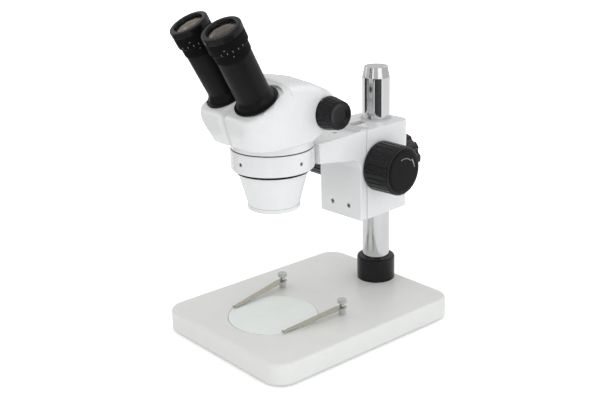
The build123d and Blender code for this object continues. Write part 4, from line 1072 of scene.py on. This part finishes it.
class MICROSCOPE_OT_zoom_knobs(MicroscopePart, Operator):
    """Makes the two tapered, fluted and dished zoom knobs"""
    bl_idname = "microscope.zoom_knobs"
    bl_label = "Zoom knobs"

    def make(self, scene):
        knobs = scene.microscope_knobs
        start, end = 46.4, 62.3
        flutes = fluted(knobs.zoom_flutes, knobs.zoom_depth / MM, start, end - 0.7, 13.4)
        corners = [(0, ZOOM_SEAT), (ZOOM_RADIUS, ZOOM_SEAT, 0.6), (ZOOM_RADIUS, 46.2, 0.6), (14.8, end, 1.4),
                   (12.6, end, 0.8), (8.0, 60.4, 6.0), (0, 59.8)]
        line = rounded_line(corners, support=0.3, per_turn=70)[1:-1]
        line = with_steps(line, start, 61.0, 13.4, 22)
        for side, spot in (("right", 0.6), ("left", 2.5)):
            place = knob_place(side, "zoom_turn", HEAD)
            body = grid_mesh("grip", round_grid(line, knobs.zoom_flutes * 16, place, flutes))
            bore = rod("bore", 3.1, 42, 58.4, place, 40)
            add_piece("zoom_grip_" + side, combined(body, [bore]), "zoom_drive",
                      "Black plastic", ["zoom_knob_" + side], sharp=40.0)
            dot = cylinder_mark("dot", place, ZOOM_RADIUS, spot, 1.2, ZOOM_SEAT + 0.8, 1.2)
            add_piece("zoom_dot_" + side, dot, "zoom_drive", "White marks")


def tube_mesh(place):
    """Tube with its flange and concave flare, and the stub that goes down into the casing."""
    inner, outer, step = 15.3, 17.9, 17.2
    under = -1.6
    pipe = turned("pipe", [(inner, under), (23.5, under, 0.3), (23.5, 0, 0.6), (20.6, 0, 0.3),
                           (20.1, 2.6, 0.6), (outer, 8.0, 8.0), (outer, 55.7, 0.3), (step, 55.7),
                           (step, 58.0, 0.3), (inner, 58.0, 0.3)], place, 160, ring=True)
    stub = turned("stub", [(12.0, -22), (15.0, -22, 0.3), (15.0, -1.5), (15.9, -1.5), (15.9, -0.6),
                           (12.0, -0.6)], place, 120, ring=True)
    return combined(pipe, [stub], "UNION")


class MICROSCOPE_OT_tubes(MicroscopePart, Operator):
    """Makes the two tubes"""
    bl_idname = "microscope.tubes"
    bl_label = "Tubes"

    def make(self, scene):
        for side in ("right", "left"):
            add_piece("pipe_" + side, tube_mesh(tube_frame(side)), "tube_" + side,
                      "Black paint", ["tube_" + side], weighted=True)


# Angles of the ticks, their start, and angle and height of the dash and the dot, in degrees and mm
SCALES = {
    "right": ([-59, -42, -26, -9, 7], 67.8, (-47, 72.6), (-30, 62.6)),
    "left": ([-98, -81, -61, -43, -28, -11, 6], 68.6, (-49, 74.0), (-31, 64.0)),
}


class MICROSCOPE_OT_eyepieces(MicroscopePart, Operator):
    """Makes the diopter rings, barrels, scale sleeves, eyecups, eye lenses and printed marks"""
    bl_idname = "microscope.eyepieces"
    bl_label = "Eyepieces"

    def make(self, scene):
        for side in ("right", "left"):
            place = tube_frame(side)
            body = "eyepiece_" + side
            self.ring(side, place, body)
            self.cup(side, place, body)
            self.marks(side, place, body)

    def ring(self, side, place, body):
        """Ring with fine upright grooves on the end of the tube, and the barrel inside the tube."""
        inner, foot, top = 17.26, 56.0, 65.6
        line = rounded_line([(inner, foot), (18.3, foot, 0.2), (RING_RADIUS, 57.0, 0.3),
                             (RING_RADIUS, top, 0.3), (inner, top)], closed=True, support=0.3)
        grip = grid_mesh("grip", round_grid(line, 480, place, grooved(60, 57.4, 60.2, 18)), ring=True)
        add_piece("grip_ring_" + side, grip, body, "Soft rubber", ["diopter_ring_" + side])
        barrel = turned("barrel", [(12.6, 32), (15.0, 32, 0.3), (15.0, EYE_JOINT), (17.2, EYE_JOINT),
                                   (17.2, SLEEVE_FOOT), (BARREL_RADIUS, SLEEVE_FOOT),
                                   (BARREL_RADIUS, 83.3, 0.3), (14.6, 83.3), (14.6, 80.9), (11.4, 80.9),
                                   (11.4, 56.4), (12.6, 44)],
                        place, 128, ring=True)
        add_piece("barrel_" + side, barrel, body, "Matt black", ["eyepiece_barrel_" + side])

    def cup(self, side, place, body):
        """Scale sleeve, rolled rubber rim and lens at the top of an eyepiece."""
        inner = BARREL_RADIUS + 0.05
        top = 79.4
        sleeve = turned("sleeve", [(inner, SLEEVE_FOOT), (19.4, SLEEVE_FOOT, 0.2), (SLEEVE_RADIUS, 67.5, 0.5),
                                   (SLEEVE_RADIUS, top, 0.3), (inner, top)], place, 160, ring=True)
        add_piece("sleeve_" + side, sleeve, body, "Soft rubber")
        rim = turned("rim", [(inner, 79.7), (20.65, 79.7, 0.4), (20.65, 86.4, 1.7), (15.7, 86.4, 0.9),
                             (14.7, 83.4, 0.2), (inner, 83.4)], place, 176, ring=True)
        add_piece("rim_" + side, rim, body, "Rubber", ["eyecup_" + side])
        lens = turned("lens", [(0, 81.0), (14.4, 81.0, 0.2), (14.4, 83.1, 0.3), (10.6, 84.0), (6.0, 84.6),
                               (0, 84.85)], place, 96)
        add_piece("lens_" + side, lens, body, "Lens glass", ["eye_lens_" + side])

    def marks(self, side, place, body):
        """Ticks of the scale, a dash and the index dot."""
        angles, start, dash, dot = SCALES[side]
        marks = [cylinder_mark("tick", place, SLEEVE_RADIUS, math.radians(angle), 0.45, start + 0.3, 1.7)
                 for angle in angles]
        marks.append(cylinder_mark("dash", place, SLEEVE_RADIUS, math.radians(dash[0]), 1.8, dash[1], 0.4))
        marks.append(cylinder_mark("dot", place, RING_RADIUS, math.radians(dot[0]), 0.7, dot[1], 0.7))
        add_piece("marks_" + side, joined("marks", marks), body, "White marks")


# Camera, light and floor

LOOK_AT = (-29.148, 9.418, 137.447)     # point of the object that the camera looks at, in mm

# Soft lamps: place, what each is aimed at, width, power in watts and colour, lengths in metres
BODY_MIDDLE = (0.0, 0.0, 0.17)
LAMPS = {
    "key": ((0.25, -1.7, 0.6), BODY_MIDDLE, 1.1, 2.6, (1.0, 1.0, 1.0)),
    "fill": ((-1.5, -0.6, 0.9), BODY_MIDDLE, 1.2, 2.0, (1.0, 1.0, 1.0)),
    "right": ((1.5, -0.15, 0.35), BODY_MIDDLE, 1.0, 2.4, (0.93, 0.96, 1.0)),
    "low": ((0.65, -0.1, 0.1), (0.0, -0.03, 0.01), 0.35, 0.6, (0.85, 0.92, 1.0)),
    "back": ((0.2, 1.5, 1.3), BODY_MIDDLE, 1.0, 3.0, (1.0, 1.0, 1.0)),
}

# Dark surroundings that the chrome mirrors: start and end to the right of the camera, in degrees, and tone
WALLS = {"wall_dark": (-16, 41, 0.05), "wall_grey": (-80, -22, 0.33), "wall_left": (-110, -82, 0.05)}
WALL_RADIUS = 0.5
WALL_HEIGHT = 0.30


def set_camera(scene, settings):
    """Camera at the photograph's angle, looking at one point of the object."""
    a, e, r = settings.azimuth, settings.elevation, settings.roll
    back = np.array([math.sin(a) * math.cos(e), -math.cos(a) * math.cos(e), math.sin(e)])
    right = np.array([math.cos(a), math.sin(a), 0.0])
    up = np.cross(back, right)
    matrix = np.eye(4)
    matrix[:3, 0] = math.cos(r) * right + math.sin(r) * up
    matrix[:3, 1] = -math.sin(r) * right + math.cos(r) * up
    matrix[:3, 2] = back
    matrix[:3, 3] = np.array(LOOK_AT) * MM + back * settings.distance
    data = bpy.data.cameras.new("camera")
    data.sensor_width = 36.0
    data.lens = settings.focal
    data.clip_start = 0.05
    data.clip_end = 20.0
    camera = bpy.data.objects.new("camera", data)
    camera.matrix_world = Matrix(matrix.tolist())
    scene.collection.objects.link(camera)
    scene.camera = camera


def build_world(scene, strength):
    """White where the camera looks past the object, a soft grey gradient as light."""
    world = bpy.data.worlds.new("studio")
    world.use_nodes = True
    tree = world.node_tree
    tree.nodes.clear()
    out = add_node(tree, "ShaderNodeOutputWorld")
    white = add_node(tree, "ShaderNodeBackground")
    white.inputs["Color"].default_value = (1, 1, 1, 1)
    soft = add_node(tree, "ShaderNodeBackground")
    gloss = add_node(tree, "ShaderNodeMapRange")
    gloss.inputs["To Min"].default_value = strength
    gloss.inputs["To Max"].default_value = 0.72 * strength
    ramp = add_node(tree, "ShaderNodeValToRGB")
    ramp.color_ramp.elements[0].color = (0.88, 0.88, 0.88, 1)
    ramp.color_ramp.elements[0].position = 0.35
    ramp.color_ramp.elements[1].color = (1.0, 1.0, 1.0, 1)
    ramp.color_ramp.elements[1].position = 0.85
    place = add_node(tree, "ShaderNodeTexCoord")
    split = add_node(tree, "ShaderNodeSeparateXYZ")
    shift = add_node(tree, "ShaderNodeMapRange")
    shift.inputs["From Min"].default_value = -1.0
    path = add_node(tree, "ShaderNodeLightPath")
    mix = add_node(tree, "ShaderNodeMixShader")
    link = tree.links.new
    link(place.outputs["Generated"], split.inputs["Vector"])
    link(split.outputs["Z"], shift.inputs["Value"])
    link(shift.outputs["Result"], ramp.inputs["Fac"])
    link(ramp.outputs["Color"], soft.inputs["Color"])
    link(path.outputs["Is Glossy Ray"], gloss.inputs["Value"])
    link(gloss.outputs["Result"], soft.inputs["Strength"])
    link(path.outputs["Is Camera Ray"], mix.inputs["Fac"])
    link(soft.outputs["Background"], mix.inputs[1])
    link(white.outputs["Background"], mix.inputs[2])
    link(mix.outputs["Shader"], out.inputs["Surface"])
    scene.world = world


def add_lamp(scene, name, place, target, wide, power, colour):
    """Square soft lamp at a place, aimed at a target."""
    data = bpy.data.lights.new(name, "AREA")
    data.shape = "SQUARE"
    data.size = wide
    data.energy = power
    data.color = colour
    lamp = bpy.data.objects.new(name, data)
    back = unit(np.subtract(place, target))
    lamp.matrix_world = Matrix(placed(place, np.cross((0, 0, 1), back), back).tolist())
    scene.collection.objects.link(lamp)


def add_wall(scene, name, start, end, tone):
    """Upright curved wall round the pillar, seen only in reflections. Its ends are angles from the camera's
    direction, in degrees to the right; tone is how bright it looks."""
    settings = scene.microscope_stage
    angle = settings.azimuth - math.pi / 2 + np.radians(np.linspace(start, end, 12))
    rim = np.stack([np.cos(angle), np.sin(angle)], -1) * WALL_RADIUS + PILLAR[:2, 3] * MM
    corners = [(x, y, z) for x, y in rim for z in (0.0, WALL_HEIGHT)]
    mesh = bpy.data.meshes.new(name)
    mesh.from_pydata(corners, [], [(i, i + 2, i + 3, i + 1) for i in range(0, len(corners) - 2, 2)])
    material = bpy.data.materials.new(name)
    material.use_nodes = True
    tree = material.node_tree
    tree.nodes.clear()
    glow = add_node(tree, "ShaderNodeEmission")
    glow.inputs["Color"].default_value = (tone, tone, tone * 1.02, 1)
    tree.links.new(glow.outputs["Emission"], add_node(tree, "ShaderNodeOutputMaterial").inputs["Surface"])
    mesh.materials.append(material)
    wall = bpy.data.objects.new(name, mesh)
    scene.collection.objects.link(wall)
    wall.visible_camera = False
    wall.visible_diffuse = False
    wall.visible_shadow = False
    wall.visible_transmission = False


class MICROSCOPE_OT_stage(MicroscopePart, Operator):
    """Makes the floor, lamps, surroundings and camera"""
    bl_idname = "microscope.stage"
    bl_label = "Stage and camera"

    def make(self, scene):
        settings = scene.microscope_stage
        scene.view_settings.view_transform = "Standard"
        set_camera(scene, settings)
        build_world(scene, settings.sky)
        self.floor(scene)
        for name, (place, target, wide, power, colour) in LAMPS.items():
            add_lamp(scene, name, place, target, wide, power * settings.lamp, colour)
        for name, (start, end, tone) in WALLS.items():
            add_wall(scene, name, start, end, tone)

    def floor(self, scene):
        """Wide plain floor, white to the camera but for the object's shadow."""
        reach = 6
        mesh = bpy.data.meshes.new("floor")
        mesh.from_pydata([(-reach, -reach, 0), (reach, -reach, 0), (reach, reach, 0), (-reach, reach, 0)], [],
                         [(0, 1, 2, 3)])
        material = bpy.data.materials.new("Floor")
        material.use_nodes = True
        tree = material.node_tree
        principled = tree.nodes["Principled BSDF"]
        principled.inputs["Base Color"].default_value = (0.93, 0.93, 0.93, 1)
        principled.inputs["Roughness"].default_value = 0.6
        principled.inputs["Specular IOR Level"].default_value = 0.1
        principled.inputs["Emission Color"].default_value = (1, 1, 1, 1)
        path = add_node(tree, "ShaderNodeLightPath")
        place = add_node(tree, "ShaderNodeTexCoord")
        away = add_node(tree, "ShaderNodeVectorMath", operation="LENGTH")
        rise = add_node(tree, "ShaderNodeMapRange", interpolation_type="SMOOTHSTEP")
        rise.inputs["From Min"].default_value = 0.15
        rise.inputs["From Max"].default_value = 0.7
        rise.inputs["To Min"].default_value = 0.25
        rise.inputs["To Max"].default_value = 0.9
        scaled = add_node(tree, "ShaderNodeMath", operation="MULTIPLY")
        tree.links.new(place.outputs["Object"], away.inputs[0])
        tree.links.new(away.outputs["Value"], rise.inputs["Value"])
        tree.links.new(path.outputs["Is Camera Ray"], scaled.inputs[0])
        tree.links.new(rise.outputs["Result"], scaled.inputs[1])
        tree.links.new(scaled.outputs["Value"], principled.inputs["Emission Strength"])
        mesh.materials.append(material)
        floor = bpy.data.objects.new("floor", mesh)
        scene.collection.objects.link(floor)


class MICROSCOPE_PT_sidebar(Panel):
    """Sidebar panel with the microscope's settings and parts"""
    bl_idname = "MICROSCOPE_PT_sidebar"
    bl_label = "Stereo Zoom Microscope"
    bl_space_type = "VIEW_3D"
    bl_region_type = "UI"
    bl_category = "Microscope"

    def draw(self, context):
        layout = self.layout
        for name, group in PROPERTIES.items():
            column = layout.column(align=True)
            column.label(text=group.__doc__)
            for key in group.__annotations__:
                column.prop(getattr(context.scene, name), key)
        for operator in OPERATORS:
            layout.operator(operator.bl_idname)


PROPERTIES = {
    "microscope_finish": MicroscopeFinish,
    "microscope_head": MicroscopeHead,
    "microscope_knobs": MicroscopeKnobs,
    "microscope_stage": MicroscopeStage,
}
OPERATORS = (
    MICROSCOPE_OT_materials, MICROSCOPE_OT_base, MICROSCOPE_OT_pillar, MICROSCOPE_OT_clips,
    MICROSCOPE_OT_block, MICROSCOPE_OT_focus_knobs, MICROSCOPE_OT_clamp_knob, MICROSCOPE_OT_carriage,
    MICROSCOPE_OT_head, MICROSCOPE_OT_nose, MICROSCOPE_OT_zoom_knobs, MICROSCOPE_OT_tubes,
    MICROSCOPE_OT_eyepieces, MICROSCOPE_OT_stage,
)
CLASSES = tuple(PROPERTIES.values()) + OPERATORS + (MICROSCOPE_PT_sidebar,)


def register():
    """Gives the scene the settings and Blender the operators and the panel."""
    for entry in CLASSES:
        bpy.utils.register_class(entry)
    for name, group in PROPERTIES.items():
        setattr(bpy.types.Scene, name, PointerProperty(type=group))


def unregister():
    """Takes all of it away again."""
    for name in PROPERTIES:
        delattr(bpy.types.Scene, name)
    for entry in reversed(CLASSES):
        bpy.utils.unregister_class(entry)


def main():
    """Makes the whole microscope."""
    register()
    for operator in OPERATORS:
        group, call = operator.bl_idname.split(".")
        result = getattr(getattr(bpy.ops, group), call)()
        if result != {"FINISHED"}:
            raise RuntimeError(operator.bl_idname + " didn't finish")


if __name__ == "__main__":
    main()
